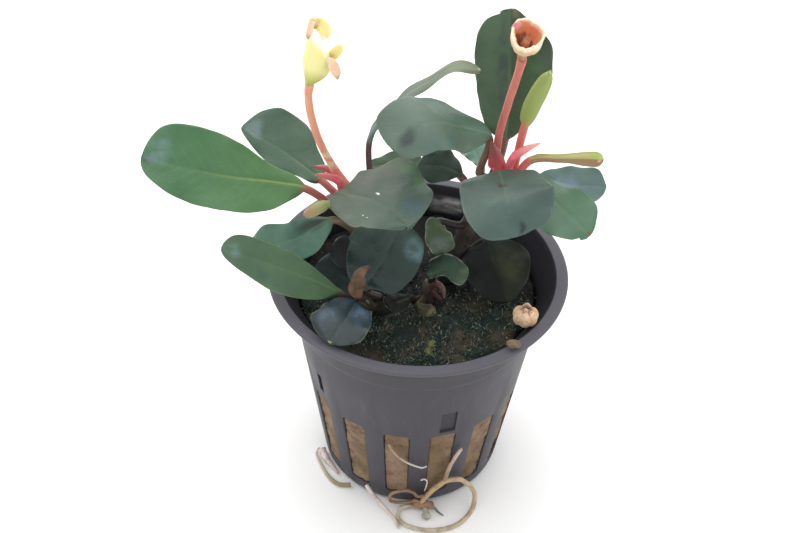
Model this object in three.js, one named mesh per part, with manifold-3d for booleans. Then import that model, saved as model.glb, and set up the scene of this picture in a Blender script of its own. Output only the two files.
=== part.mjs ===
// A bucephalandra in its slotted aquarium net pot: wiry roots, a mineral wool plug with a mossy top,
// creeping stems, stalked leaves, two flower stalks and the dried bits that lie among them.
// Millimetres, +Z up. The origin is the centre of the pot's base, and -Y is the plant's front.
import * as THREE from 'three';
import { mergeVertices } from 'three/addons/utils/BufferGeometryUtils.js';
import Module from 'manifold-3d';

const wasm = await Module();
wasm.setup();

// Pot
const POT_HEIGHT = 45.5;
const LIP_RADIUS = 26.2;
const LIP_INNER_RADIUS = 23.9;
const LIP_DEPTH = 3.1;
const WALL_TOP_RADIUS = 22.4;
const BASE_RADIUS = 17.3;
const WALL = 1;
const FLOOR = 1.2;
const STEP_RING_HEIGHT = 37;
const POT_SEGMENTS = 45;
const SLOT_COUNT = 15;
const SLOT_TURN = THREE.MathUtils.degToRad(17);
const SLOT_BOTTOM = 3.6;
const SLOT_TOP = 22.6;
const SLOT_ANGLE = THREE.MathUtils.degToRad(13.4);
const DRAIN_HOLES = 5;
const DRAIN_RADIUS = 2.4;
const DRAIN_CIRCLE = 9.5;
const RECESS_DEPTH = 0.4;
const RECESSES = [
  { bottom: 23.6, top: 29.4, angle: THREE.MathUtils.degToRad(8), turn: THREE.MathUtils.degToRad(18.5) },
  { bottom: 25.4, top: 30, angle: THREE.MathUtils.degToRad(3.4), turn: THREE.MathUtils.degToRad(-52) },
];
const CORNER = 0.7;

// Filling
const GAP = 0.3;
const PLUG_TOP = 38.5;
const MOSS_RIM_HEIGHT = 40.6;
const MOSS_RINGS = 6;
const MOSS_SEGMENTS = 24;
// Mounds in the moss: x, y, how far they spread and how high they rise.
const MOUNDS = [
  [6, -12, 7, 2.2],
  [-6, -10, 6, 1.4],
  [13, 0, 6, 1.6],
  [-2, 4, 8, 0.8],
  [-12, 4, 5, 0.9],
  [16, -8, 4, 1.4],
];

// Plant
const STALK_RADIUS = 0.65;
const LEAF_HALF_THICKNESS = 0.4;
const EDGE_HALF_THICKNESS = 0.2;
const LEAF_SIDES = 8;
const BLADE_STEPS = 8;
const WAVES = 2.5;
const FLOWER_STALK_RADIUS = 0.62;
const SPATHE_THICKNESS = 0.6;
const SPATHE_SIDES = 12;
const SPATHE_STEPS = 6;
const SPADIX_RADIUS = 0.65;

const COLOURS = {
  pot: { color: 0x3a3b42, roughness: 0.45 },
  plug: { color: 0x8d7250, roughness: 0.95 },
  moss: { color: 0x2b3a2a, roughness: 0.95 },
  stem: { color: 0x4a3f33, roughness: 0.6 },
  leaf: { color: 0x3f6b52, roughness: 0.35 },
  darkLeaf: { color: 0x23443f, roughness: 0.35 },
  youngLeaf: { color: 0x9aae4e, roughness: 0.4 },
  stalk: { color: 0xcf5f62, roughness: 0.45 },
  spathe: { color: 0xf0e2a8, roughness: 0.5 },
  dried: { color: 0xc99a68, roughness: 0.8 },
  root: { color: 0xa9855a, roughness: 0.7 },
};

const part = new THREE.Group();

function add(name, geometry, finish) {
  const material = new THREE.MeshStandardMaterial({ metalness: 0, ...COLOURS[finish] });
  const mesh = new THREE.Mesh(geometry, material);
  mesh.name = name;
  part.add(mesh);
  return mesh;
}

// A closed skin over rings of points. Each end is closed by a fan to its own centre point.
function loft(rings, first, last) {
  const around = rings[0].length;
  const points = [first, ...rings.flat(), last];
  const index = [];
  for (let k = 0; k < around; k++) {
    const next = (k + 1) % around;
    index.push(0, 1 + next, 1 + k);
    for (let i = 0; i + 1 < rings.length; i++) {
      const a = 1 + i * around;
      const b = a + around;
      index.push(a + k, a + next, b + next, a + k, b + next, b + k);
    }
    const top = 1 + (rings.length - 1) * around;
    index.push(top + k, top + next, points.length - 1);
  }
  const geometry = new THREE.BufferGeometry().setFromPoints(points);
  geometry.setIndex(index);
  geometry.computeVertexNormals();
  return geometry;
}

const middleOf = (ring) =>
  ring.reduce((sum, p) => sum.add(p), new THREE.Vector3()).divideScalar(ring.length);

function toManifold(geometry) {
  const bare = geometry.clone();
  bare.deleteAttribute('normal');
  bare.deleteAttribute('uv');
  const merged = mergeVertices(bare, 1e-4);
  return new wasm.Manifold(
    new wasm.Mesh({
      numProp: 3,
      vertProperties: merged.attributes.position.array,
      triVerts: new Uint32Array(merged.index.array),
    }),
  );
}

function fromManifold(solid) {
  const mesh = solid.getMesh();
  const geometry = new THREE.BufferGeometry();
  geometry.setAttribute('position', new THREE.BufferAttribute(mesh.vertProperties, 3));
  geometry.setIndex(new THREE.BufferAttribute(mesh.triVerts, 1));
  geometry.computeVertexNormals();
  return geometry;
}

const wallRadius = (z) => BASE_RADIUS + ((WALL_TOP_RADIUS - BASE_RADIUS) * z) / (POT_HEIGHT - LIP_DEPTH);

function latheAboutZ(profile, segments) {
  const points = profile.map(([radius, z]) => new THREE.Vector2(radius, z));
  return new THREE.LatheGeometry(points, segments).rotateX(Math.PI / 2);
}

// An upright window in the wall, from bottom to top and as wide as the given turn, cut outward from the
// radius where it starts. Its upper corners are eased.
function wallCutter(bottom, top, angle, turn, from) {
  const lower = wallRadius(bottom) * Math.tan(angle / 2);
  const upper = wallRadius(top) * Math.tan(angle / 2);
  const ease = Math.min(CORNER, upper / 2);
  const opening = new THREE.Shape();
  opening.moveTo(-lower, bottom);
  opening.lineTo(lower, bottom);
  opening.lineTo(upper, top - ease);
  opening.lineTo(upper - ease, top);
  opening.lineTo(ease - upper, top);
  opening.lineTo(-upper, top - ease);
  const depth = LIP_RADIUS - from;
  const cutter = new THREE.ExtrudeGeometry(opening, { depth, bevelEnabled: false, steps: 1 });
  return toManifold(cutter.translate(0, 0, from).rotateX(Math.PI / 2).rotateZ(turn));
}

// Net pot: a tapered cup with a flat flared lip, tall slots, two shallow recesses and holes in its floor.
function netPot() {
  const lipBottom = POT_HEIGHT - LIP_DEPTH;
  const stepRadius = wallRadius(STEP_RING_HEIGHT);
  let solid = toManifold(
    latheAboutZ(
      [
        [0, 0],
        [BASE_RADIUS - 0.8, 0],
        [BASE_RADIUS, 0.8],
        [stepRadius, STEP_RING_HEIGHT],
        [stepRadius + 0.35, STEP_RING_HEIGHT + 0.4],
        [WALL_TOP_RADIUS + 0.25, lipBottom],
        [LIP_RADIUS - 0.6, POT_HEIGHT - 1.3],
        [LIP_RADIUS, POT_HEIGHT - 0.4],
        [LIP_RADIUS - 0.4, POT_HEIGHT],
        [LIP_INNER_RADIUS, POT_HEIGHT - 0.2],
        [WALL_TOP_RADIUS - WALL, lipBottom - 0.6],
        [BASE_RADIUS - WALL, FLOOR],
        [0, FLOOR],
      ],
      POT_SEGMENTS,
    ),
  );
  for (let i = 0; i < SLOT_COUNT; i++) {
    const turn = SLOT_TURN + (i * 2 * Math.PI) / SLOT_COUNT;
    solid = solid.subtract(wallCutter(SLOT_BOTTOM, SLOT_TOP, SLOT_ANGLE, turn, 0));
  }
  for (const { bottom, top, angle, turn } of RECESSES) {
    const from = wallRadius(bottom) - RECESS_DEPTH;
    solid = solid.subtract(wallCutter(bottom, top, angle, turn, from));
  }
  for (let i = 0; i < DRAIN_HOLES; i++) {
    const turn = (i * 2 * Math.PI) / DRAIN_HOLES;
    const hole = new THREE.CylinderGeometry(DRAIN_RADIUS, DRAIN_RADIUS, 4 * FLOOR, 12)
      .rotateX(Math.PI / 2)
      .translate(DRAIN_CIRCLE * Math.sin(turn), -DRAIN_CIRCLE * Math.cos(turn), 0);
    solid = solid.subtract(toManifold(hole));
  }
  return fromManifold(solid);
}

// Mineral wool plug: it fills the pot up to just below the moss.
function woolPlug() {
  const clear = WALL + GAP;
  return latheAboutZ(
    [
      [0, FLOOR + GAP],
      [wallRadius(FLOOR) - clear - 0.4, FLOOR + GAP],
      [wallRadius(PLUG_TOP) - clear, PLUG_TOP],
      [0, PLUG_TOP],
    ],
    MOSS_SEGMENTS,
  );
}

function mossHeight(x, y) {
  const raised = MOUNDS.reduce((sum, [moundX, moundY, spread, height]) => {
    const away = ((x - moundX) ** 2 + (y - moundY) ** 2) / spread ** 2;
    return sum + height * Math.exp(-away);
  }, 0);
  return MOSS_RIM_HEIGHT + raised + 0.25 * Math.sin(1.3 * x) * Math.cos(1.1 * y);
}

// Moss: a low mounded cap that the stems come up through.
function mossCap() {
  const bottom = PLUG_TOP + GAP;
  const edge = wallRadius(bottom) - WALL - GAP;
  const ring = (radius, height) =>
    Array.from({ length: MOSS_SEGMENTS }, (_, k) => {
      const turn = (k * 2 * Math.PI) / MOSS_SEGMENTS;
      const x = radius * Math.cos(turn);
      const y = radius * Math.sin(turn);
      return new THREE.Vector3(x, y, height ?? mossHeight(x, y));
    });
  const rings = [ring(edge - 1, bottom), ring(edge, bottom + 0.2)];
  for (let i = 0; i < MOSS_RINGS; i++) rings.push(ring(edge * (1 - i / MOSS_RINGS)));
  const top = new THREE.Vector3(0, 0, mossHeight(0, 0));
  let solid = toManifold(loft(rings, new THREE.Vector3(0, 0, bottom), top));
  for (const stem of Object.values(STEMS)) solid = solid.subtract(toManifold(stemTube(stem, GAP)));
  return fromManifold(solid);
}

const vectors = (points) => points.map((p) => new THREE.Vector3(...p));

// A round ring of points about centre, across the directions side and up.
function roundRing(centre, side, up, radius, sides) {
  return Array.from({ length: sides }, (_, k) => {
    const turn = (k * 2 * Math.PI) / sides;
    return centre
      .clone()
      .addScaledVector(side, radius * Math.cos(turn))
      .addScaledVector(up, radius * Math.sin(turn));
  });
}

// A tube along a smooth curve. radiusAt gives its radius from 0 at the start to 1 at the end.
function tube(points, radiusAt, steps, sides) {
  const curve = new THREE.CatmullRomCurve3(points);
  const frames = curve.computeFrenetFrames(steps, false);
  const rings = [];
  for (let i = 0; i <= steps; i++) {
    const centre = curve.getPointAt(i / steps);
    rings.push(roundRing(centre, frames.normals[i], frames.binormals[i], radiusAt(i / steps), sides));
  }
  return loft(rings, middleOf(rings[0]), middleOf(rings[steps]));
}

// Creeping stems, ringed where old leaves have dropped and narrower at their growing tips.
const STEMS = {
  stem_left: {
    points: [[-3, 0, 39.2], [-6, 1.5, 46], [-9, 2, 53], [-12, 1.5, 59.5]],
    radius: 1.6,
    rings: 5,
  },
  stem_right: {
    points: [[4, 1.5, 39.2], [6.5, 2, 47], [9.5, 2.5, 56], [12.4, 2.4, 64]],
    radius: 1.6,
    rings: 6,
  },
  stem_front: { points: [[-4, -6.5, 39.6], [-6, -8, 42.5], [-9.5, -9.6, 46.2]], radius: 1.5, rings: 3 },
  stem_middle: { points: [[1.5, -4.5, 39.6], [2, -5, 43], [2.4, -5, 46]], radius: 1.5, rings: 2 },
};

const stemRadius = ({ radius, rings }, t) =>
  radius *
  (1 + 0.07 * Math.cos(2 * Math.PI * rings * t)) *
  (1 - 0.25 * THREE.MathUtils.smoothstep(t, 0.8, 1));

const stemTube = (stem, clearance = 0) =>
  tube(vectors(stem.points), (t) => stemRadius(stem, t) + clearance, 4 * stem.rings, 8);

// Where a stalk leaves its stem, and which way: a gap off the skin of the stem on the side it sets off to,
// or a gap off the end of the stem when at is 1.
function growthPoint(on, at, way) {
  const stem = STEMS[on];
  const curve = new THREE.CatmullRomCurve3(vectors(stem.points));
  const centre = curve.getPointAt(at);
  const along = curve.getTangentAt(at);
  if (at === 1) return [centre.addScaledVector(along, GAP), along];
  const out = way(centre);
  out.addScaledVector(along, -out.dot(along)).normalize();
  return [centre.addScaledVector(out, stemRadius(stem, at) + 1.5 * GAP), out];
}

// How far along a blade its half-widths are given: closer together toward its ends.
const stationShare = (k, count) => (1 - Math.cos((k * Math.PI) / count)) / 2;

// Half-width of a blade at a share of its length, along a smooth line through its given half-widths.
function halfWidth(share, widths) {
  const place = (Math.acos(1 - 2 * share) / Math.PI) * (widths.length + 1);
  const knots = [-widths[0], 0, ...widths, 0, -widths.at(-1)];
  const before = Math.min(Math.floor(place), widths.length);
  const [a, b, c, d] = knots.slice(before, before + 4);
  const t = place - before;
  return b + 0.5 * t * (c - a + t * (2 * a - 5 * b + 4 * c - d + t * (3 * (b - c) + d - a)));
}

// A stalked leaf as one closed skin: a round stalk that flattens into a blade with waved margins.
// It grows on a stem, at a share of the stem's length, and sets off along way or straight to its blade.
// blade holds points of the midrib from the blade's base to its tip, left and right its half-widths along
// it, and face is the way its upper side looks. cup lifts the margins, or lowers them when below zero.
function leafSolid(leaf) {
  const { on, at, way, blade, left, right, face, cup = 0.12, wave = 0.3 } = leaf;
  const { thick = 1, stalkRadius = STALK_RADIUS } = leaf;
  const heading = (centre) => (way ? new THREE.Vector3(...way) : new THREE.Vector3(...blade[0]).sub(centre));
  const [start, out] = growthPoint(on, at, heading);
  const lead = start.clone().addScaledVector(out, 0.8);
  const midrib = [start, lead, ...vectors(blade)];
  const curve = new THREE.CatmullRomCurve3(midrib);
  const lengths = curve.getLengths(400);
  const bladeStart = lengths[Math.round((2 * 400) / (midrib.length - 1))] / lengths[400];
  const stalkSteps = Math.max(2, Math.round((bladeStart * lengths[400]) / 3));
  const stations = Array.from({ length: stalkSteps + 1 }, (_, i) => (i * bladeStart) / stalkSteps);
  for (let k = 1; k < BLADE_STEPS; k++) {
    stations.push(bladeStart + stationShare(k, BLADE_STEPS) * (1 - bladeStart));
  }
  const ways = stations.map((u) => curve.getTangentAt(u));
  const sides = ways.map((along) => new THREE.Vector3(...face).cross(along).normalize());
  // Down the stalk each ring is turned like the one above it, so the stalk doesn't twist.
  for (let i = stalkSteps - 1; i >= 0; i--) {
    const bend = new THREE.Quaternion().setFromUnitVectors(ways[i + 1], ways[i]);
    sides[i] = sides[i + 1].clone().applyQuaternion(bend);
  }
  const rings = stations.map((u, i) => {
    const centre = curve.getPointAt(u);
    const share = Math.max(0, (u - bladeStart) / (1 - bladeStart));
    const side = sides[i];
    const up = new THREE.Vector3().crossVectors(ways[i], side);
    const flat = THREE.MathUtils.smoothstep(share, 0, 0.15);
    return Array.from({ length: LEAF_SIDES }, (_, k) => {
      const angle = (k * 2 * Math.PI) / LEAF_SIDES;
      const across = Math.cos(angle);
      const width = halfWidth(share, across > 0 ? left : right);
      const half = Math.max(stalkRadius * (1 - 0.75 * share), width);
      const phase = WAVES * 2 * Math.PI * share + (across > 0 ? 0 : 2);
      const ripple = wave * Math.abs(across) ** 3 * Math.sin(phase);
      const skin = thick * THREE.MathUtils.lerp(LEAF_HALF_THICKNESS, EDGE_HALF_THICKNESS, across * across);
      const height = THREE.MathUtils.lerp(stalkRadius, skin, flat) * Math.sin(angle);
      const lift = half * cup * Math.abs(across) ** 1.5;
      return centre
        .clone()
        .addScaledVector(side, half * across)
        .addScaledVector(up, height + flat * (lift + ripple));
    });
  });
  return loft(rings, middleOf(rings[0]), curve.getPointAt(1));
}

const LEAVES = {
  leaf_far_left: {
    on: 'stem_left', at: 0.86, blade: [[-19, -1, 61.5], [-32, -4, 65.5], [-44, -4, 68.5]],
    left: [2.3, 5.1, 5.7, 5, 3], right: [1.6, 3.2, 6.4, 6.8, 5.4], face: [0.1, -0.6, 0.8], wave: 0.35,
  },
  leaf_back_left: {
    on: 'stem_left', at: 0.8, blade: [[-17, 6, 58], [-23.9, 11, 60], [-32, 15.5, 62]],
    left: [1.6, 2.3, 3.4, 2.4, 1.1], right: [2.3, 4, 6.4, 6.4, 4.3], face: [0.2, -0.6, 0.8],
  },
  leaf_drooping_left: {
    on: 'stem_left', at: 0.68, blade: [[-14.3, -3.2, 56.9], [-20.9, -4.4, 53.3], [-29, -1.6, 49.2]],
    left: [1.9, 3.6, 3.6, 2.5, 1.5], right: [0.9, 2.5, 3, 3.3, 1.7], face: [-0.2, -0.7, 0.7],
  },
  leaf_front_left: {
    on: 'stem_front', at: 0.85, blade: [[-12.7, -11, 47.9], [-21, -12, 53.3], [-31.3, -11, 56.7]],
    left: [1.5, 3.3, 4, 2.9, 1.6], right: [0.7, 1.8, 3, 3.1, 2.5], face: [0.2, -0.7, 0.7],
  },
  leaf_middle_left: {
    on: 'stem_left', at: 0.93, blade: [[-13.3, -3.5, 62.3], [-6.6, -9, 65.2], [-1.3, -14, 64.6]],
    left: [3.6, 5.9, 8.9, 7.3, 5.6], right: [2.4, 4.6, 6.1, 5.2, 1.5], face: [0, -0.3, 0.95],
  },
  leaf_middle_low: {
    on: 'stem_front', at: 0.75, blade: [[-8.4, -11, 49], [-5.5, -7, 52.5], [-3, -5, 58.5]],
    left: [3.5, 5.6, 6.6, 6.2, 4.1], right: [3.7, 5.1, 5.8, 5.5, 4], face: [0, -0.75, 0.65],
  },
  leaf_front_small: {
    on: 'stem_front', at: 0.9, blade: [[-9.8, -13.2, 47.7], [-11.2, -17, 47.9], [-13.4, -21, 46.3]],
    left: [2.8, 3.7, 4.6, 4.2, 2.3], right: [2.6, 3.8, 4.4, 4.9, 2.8], face: [0, -0.3, 0.95],
  },
  leaf_upper_arch: {
    on: 'stem_right', at: 0.92, way: [-1, 0.3, 0],
    blade: [[10.3, 1.8, 70.9], [6.2, 0, 73.5], [0.3, -5, 77.3], [-4.4, -8.5, 74.6]],
    left: [1.8, 3.8, 5, 4.4, 3], right: [2, 4, 5.4, 6.2, 5.6], face: [0, -0.45, 0.9], cup: -0.1,
  },
  leaf_upper_behind: {
    on: 'stem_right', at: 0.86, blade: [[9.8, 6, 62.5], [8.9, 8, 63.9], [6.8, 10, 65.5]],
    left: [1, 1.5, 2.2, 2.2, 1.8], right: [1, 1.5, 2.7, 3.2, 2.4], face: [0, -0.6, 0.8], cup: 0.05,
  },
  leaf_thin_arch: {
    on: 'stem_left', at: 0.88,
    blade: [
      [-8.8, 4, 67.5], [-7.6, 4.5, 70.9], [-4, 5, 75.2], [0.6, 5.5, 78.5], [4.4, 5.5, 81], [8.4, 5, 80.9],
    ],
    left: [0.5, 0.7, 1, 1.4, 1], right: [0.6, 1.6, 1.5, 1.4, 0.9],
    face: [-0.45, -0.15, 0.8], stalkRadius: 0.5,
  },
  leaf_upright: {
    on: 'stem_right', at: 0.92, way: [0.2, 1, 0],
    blade: [[13.3, 6, 68], [13.4, 9, 76.5], [12.4, 10, 89]],
    left: [3.1, 4.7, 5.6, 5.5, 4.1], right: [2.1, 4.7, 6.5, 6, 2.3], face: [0, -0.85, 0.5],
  },
  leaf_rolled_upright: {
    on: 'stem_right', at: 0.92, way: [1, 0, 0],
    blade: [[15.7, 1.8, 73.2], [16.4, 0.4, 78.1], [18.1, -1, 84.5]],
    left: [0.8, 1.2, 1.3, 1.2, 0.8], right: [0.8, 1.2, 1.3, 1.2, 0.8],
    face: [0, -0.8, 0.6], thick: 2.4, wave: 0, finish: 'youngLeaf',
  },
  leaf_rolled_right: {
    on: 'stem_right', at: 0.81,
    blade: [[17, 0, 68.1], [21.5, -1, 69.4], [26.1, -1.5, 69.9], [28.1, -2, 70.2]],
    left: [0.6, 0.6, 0.7, 1, 1], right: [0.6, 0.6, 0.7, 1.1, 1.1],
    face: [0, -0.8, 0.6], thick: 2, wave: 0, finish: 'youngLeaf',
  },
  leaf_right_round: {
    on: 'stem_right', at: 0.87, blade: [[12, -2.2, 66.8], [13, -9, 67], [15, -13, 63]],
    left: [4.6, 6.6, 7.4, 6.7, 4.7], right: [3.3, 6, 7.1, 6.8, 4.7], face: [0, -0.3, 0.95],
  },
  leaf_right_low: {
    on: 'stem_right', at: 0.76, blade: [[17.6, 2, 62.1], [22.6, -2, 60.7], [27.4, -6, 58.2]],
    left: [1.7, 2.6, 4.1, 4.5, 2.1], right: [2.9, 4, 5, 4.4, 2.1], face: [0, -0.5, 0.85],
  },
  leaf_far_right: {
    on: 'stem_right', at: 0.74, blade: [[19, 7, 59.6], [25.6, 9, 57.2], [32.3, 11, 55.7]],
    left: [0.7, 2.2, 3.3, 3.5, 2.9], right: [3, 3.6, 3.7, 3.3, 1.7], face: [0, -0.5, 0.85],
  },
  leaf_dark_middle: {
    on: 'stem_right', at: 0.82, blade: [[6.2, 1, 63.9], [3, 0, 66.2], [-0.7, 0, 66.2]],
    left: [0.5, 1.6, 3, 3.2, 1.9], right: [2.1, 3.1, 3.2, 2.6, 1.6],
    face: [0, -0.4, 0.9], finish: 'darkLeaf',
  },
  leaf_behind_middle: {
    on: 'stem_left', at: 0.76, blade: [[-8.8, 5.5, 60.9], [-4.8, 8, 60.8], [0.1, 9.5, 60.2]],
    left: [1.1, 1.6, 2.1, 1.4, 1.4], right: [1.6, 2.2, 2.5, 2.5, 2],
    face: [0, -0.5, 0.85], finish: 'darkLeaf',
  },
  leaf_hanging_middle: {
    on: 'stem_right', at: 0.55, blade: [[2.8, -2, 56.5], [3, -4.5, 56], [3.6, -6.5, 54.3]],
    left: [0.9, 1.4, 1.9, 1.9, 1.3], right: [1.4, 1.8, 2, 2, 1.3],
    face: [0.3, -0.7, 0.6], wave: 0.2, finish: 'darkLeaf',
  },
  leaf_curled_middle: {
    on: 'stem_middle', at: 1, blade: [[2.1, -8.4, 50.4], [4.9, -9.8, 52.9], [8, -11, 52.2]],
    left: [0.5, 0.6, 1, 1.6, 1.3], right: [0.4, 0.9, 1.1, 1.6, 1.3],
    face: [-0.4, -0.5, 0.75], wave: 0.2, finish: 'darkLeaf',
  },
  leaf_low_dark: {
    on: 'stem_middle', at: 0.5, blade: [[-1.1, -7.6, 44.3], [-2.7, -9.6, 45.4], [-4.9, -12, 46.4]],
    left: [0.6, 1.1, 1.7, 1.7, 1.5], right: [0.8, 1.2, 1.6, 1.7, 1.3],
    face: [0, -0.5, 0.85], finish: 'darkLeaf',
  },
  leaf_low_olive: {
    on: 'stem_middle', at: 0.6, blade: [[0.4, -8.7, 43.9], [1.5, -10.5, 44.8], [3.1, -13, 46.5]],
    left: [0.4, 0.8, 1.1, 0.9, 0.6], right: [0.5, 1, 1.4, 1.5, 1.3],
    face: [0, -0.5, 0.85], finish: 'darkLeaf',
  },
  leaf_old_mossy: {
    on: 'stem_right', at: 0.34, blade: [[11.5, 4, 48], [13.5, -2, 46.5], [15.3, -8, 44.6]],
    left: [2.2, 5.6, 5.9, 4.6, 2.1], right: [3.6, 4.7, 5.5, 5, 3],
    face: [0, -0.3, 0.95], cup: 0.2, finish: 'darkLeaf',
  },
  leaf_inside_left: {
    on: 'stem_left', at: 0.3, blade: [[-10.5, -4, 44.5], [-14, -3.8, 45.6], [-17.4, -2.5, 46.6]],
    left: [2.5, 3.6, 4, 3.4, 2], right: [2.5, 3.6, 4, 3.4, 2], face: [0, -0.5, 0.85], finish: 'darkLeaf',
  },
  leaf_inside_brown: {
    on: 'stem_left', at: 0.45, blade: [[-9.6, -1.4, 48], [-12, -1.8, 49], [-14, -1.6, 51.5]],
    left: [1.8, 2.7, 3, 2.5, 1.4], right: [1.8, 2.7, 3, 2.5, 1.4],
    face: [0, -0.7, 0.7], finish: 'darkLeaf',
  },
  leaf_new_left: {
    on: 'stem_left', at: 0.83, blade: [[-14.9, -3, 60], [-16.8, -4.5, 60.1], [-18.7, -5, 59]],
    left: [0.6, 0.9, 1, 0.9, 0.6], right: [0.6, 0.9, 1, 0.9, 0.6],
    face: [0, -0.6, 0.8], thick: 2, wave: 0, finish: 'youngLeaf',
  },
};

const DRIED_BRACT = {
  on: 'stem_front', at: 1,
  blade: [
    [-9, -12.2, 48.6], [-9.6, -13, 51.7], [-10.2, -13.6, 54.6], [-9.3, -14, 56.4], [-8.3, -14.2, 56.2],
  ],
  left: [0.5, 0.9, 0.9, 0.7, 0.4], right: [0.5, 0.9, 0.9, 0.7, 0.4],
  face: [0.3, -0.7, 0.6], cup: 0.5, wave: 0,
};

// Pink scale leaves that wrap the foot of the flower stalks and the short stem in the middle.
const SCALE_HALF_WIDTHS = [0.7, 0.7, 0.6, 0.4, 0.2];
const SCALES = {
  scale_left_upper: {
    on: 'stem_left', at: 0.91, way: [-1, 1, 0],
    blade: [[-14.2, 3.3, 61.5], [-16, 3.3, 62.6], [-18, 3.2, 62.9]],
  },
  scale_left_lower: {
    on: 'stem_left', at: 0.93, way: [-1, -1, 0],
    blade: [[-13.4, -0.6, 62.9], [-15.2, -0.8, 63.9], [-17.1, -1.1, 64.4]],
  },
  scale_right_upper: {
    on: 'stem_right', at: 0.97, way: [-0.6, -1, 0],
    blade: [[12, -0.2, 66.2], [11.5, -0.2, 68.8], [10.7, 0, 71.3]],
    left: [1.3, 1.4, 1.1, 0.7, 0.3], right: [1.3, 1.4, 1.1, 0.7, 0.3], cup: -0.4,
  },
  scale_right_side: {
    on: 'stem_right', at: 0.95, way: [0.8, -1, 0],
    blade: [[14.2, -0.8, 69], [15.9, -0.6, 70.5], [18.2, 0, 71.5]],
  },
  scale_middle: {
    on: 'stem_middle', at: 0.62, way: [1, -0.8, 0],
    blade: [[4, -7.4, 45.4], [5, -8.6, 45.8], [5.4, -10, 44.6]],
    left: [0.8, 1.1, 1.2, 1, 0.6], right: [0.8, 1.1, 1.2, 1, 0.6],
  },
};

function scaleSolid(scale) {
  const slender = { left: SCALE_HALF_WIDTHS, right: SCALE_HALF_WIDTHS };
  return leafSolid({ face: [0, -0.6, 0.8], thick: 1.6, wave: 0, stalkRadius: 0.65, ...slender, ...scale });
}

// Flower stalks, thicker at the foot by the given radius. Each starts on the end of its stem.
const FLOWER_STALKS = {
  flower_stalk_left: {
    on: 'stem_left', foot: 0.6,
    points: [
      [-14.3, 1.3, 64], [-15.4, 1, 66.6], [-16.7, 0.5, 70.5], [-17.6, -0.2, 75.5], [-17.7, -0.8, 79],
      [-17.4, -1, 81.1],
    ],
  },
  flower_stalk_right: {
    on: 'stem_right', foot: 0.15,
    points: [[12, 2, 66.6], [11.8, 1.5, 71.1], [12.7, 0, 79], [13.4, -1, 83.9], [13.7, -1.9, 87]],
  },
};

function flowerStalk({ on, foot, points }) {
  const [start, along] = growthPoint(on, 1);
  const lead = start.clone().addScaledVector(along, 1);
  return tube([start, lead, ...vectors(points)], (t) => FLOWER_STALK_RADIUS + foot * Math.exp(-9 * t), 10, 8);
}

// A spathe as one closed shell: a bowl whose mouth rises from low to high on one side, as a narrow hood.
// widest is how far up the bowl it is widest, and mouth its mouth's radius there as a share of its own.
function spathe({ base, axis, radius, widest, mouth, low, high, side }) {
  const upright = new THREE.Vector3(0, 0, 1);
  const stand = new THREE.Quaternion().setFromUnitVectors(upright, new THREE.Vector3(...axis).normalize());
  const skin = (inset) =>
    Array.from({ length: SPATHE_STEPS + 1 }, (_, i) => {
      const t = i / SPATHE_STEPS;
      const swell = 0.3 + 0.7 * Math.sin((Math.PI / 2) * Math.min(1, t / widest));
      const closing = ((1 - mouth) * Math.max(0, t - widest)) / (1 - widest);
      const reach = radius * (swell - closing) - inset;
      return Array.from({ length: SPATHE_SIDES }, (_unused, k) => {
        const turn = (k * 2 * Math.PI) / SPATHE_SIDES;
        const rim = THREE.MathUtils.lerp(low, high, (0.5 + 0.5 * Math.cos(turn - side)) ** 3);
        return new THREE.Vector3(reach * Math.cos(turn), reach * Math.sin(turn), inset + t * (rim - inset))
          .applyQuaternion(stand)
          .add(new THREE.Vector3(...base));
      });
    });
  const outer = skin(0);
  const inner = skin(SPATHE_THICKNESS).reverse();
  return loft([...outer, ...inner], middleOf(outer[0]), middleOf(inner[SPATHE_STEPS]));
}

const SPATHES = {
  spathe_left: {
    base: [-16.2, -1.1, 81.9], axis: [0.05, -0.05, 1], radius: 2.3, widest: 0.5, mouth: 0.85,
    low: 4.2, high: 9.6, side: 1.9,
  },
  spathe_right: {
    base: [13.6, -1.9, 87.7], axis: [0.05, -0.5, 1], radius: 2.35, widest: 0.9, mouth: 1,
    low: 5.6, high: 6.2, side: 1.6,
  },
};

const SPADICES = {
  spadix_left: [[-16.2, -1.2, 83.8], [-16.1, -1.2, 84.9], [-16, -1.3, 86.2]],
  spadix_right: [[13.7, -2.9, 89.7], [13.75, -3.4, 90.6], [13.8, -3.8, 91.5]],
};

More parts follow.
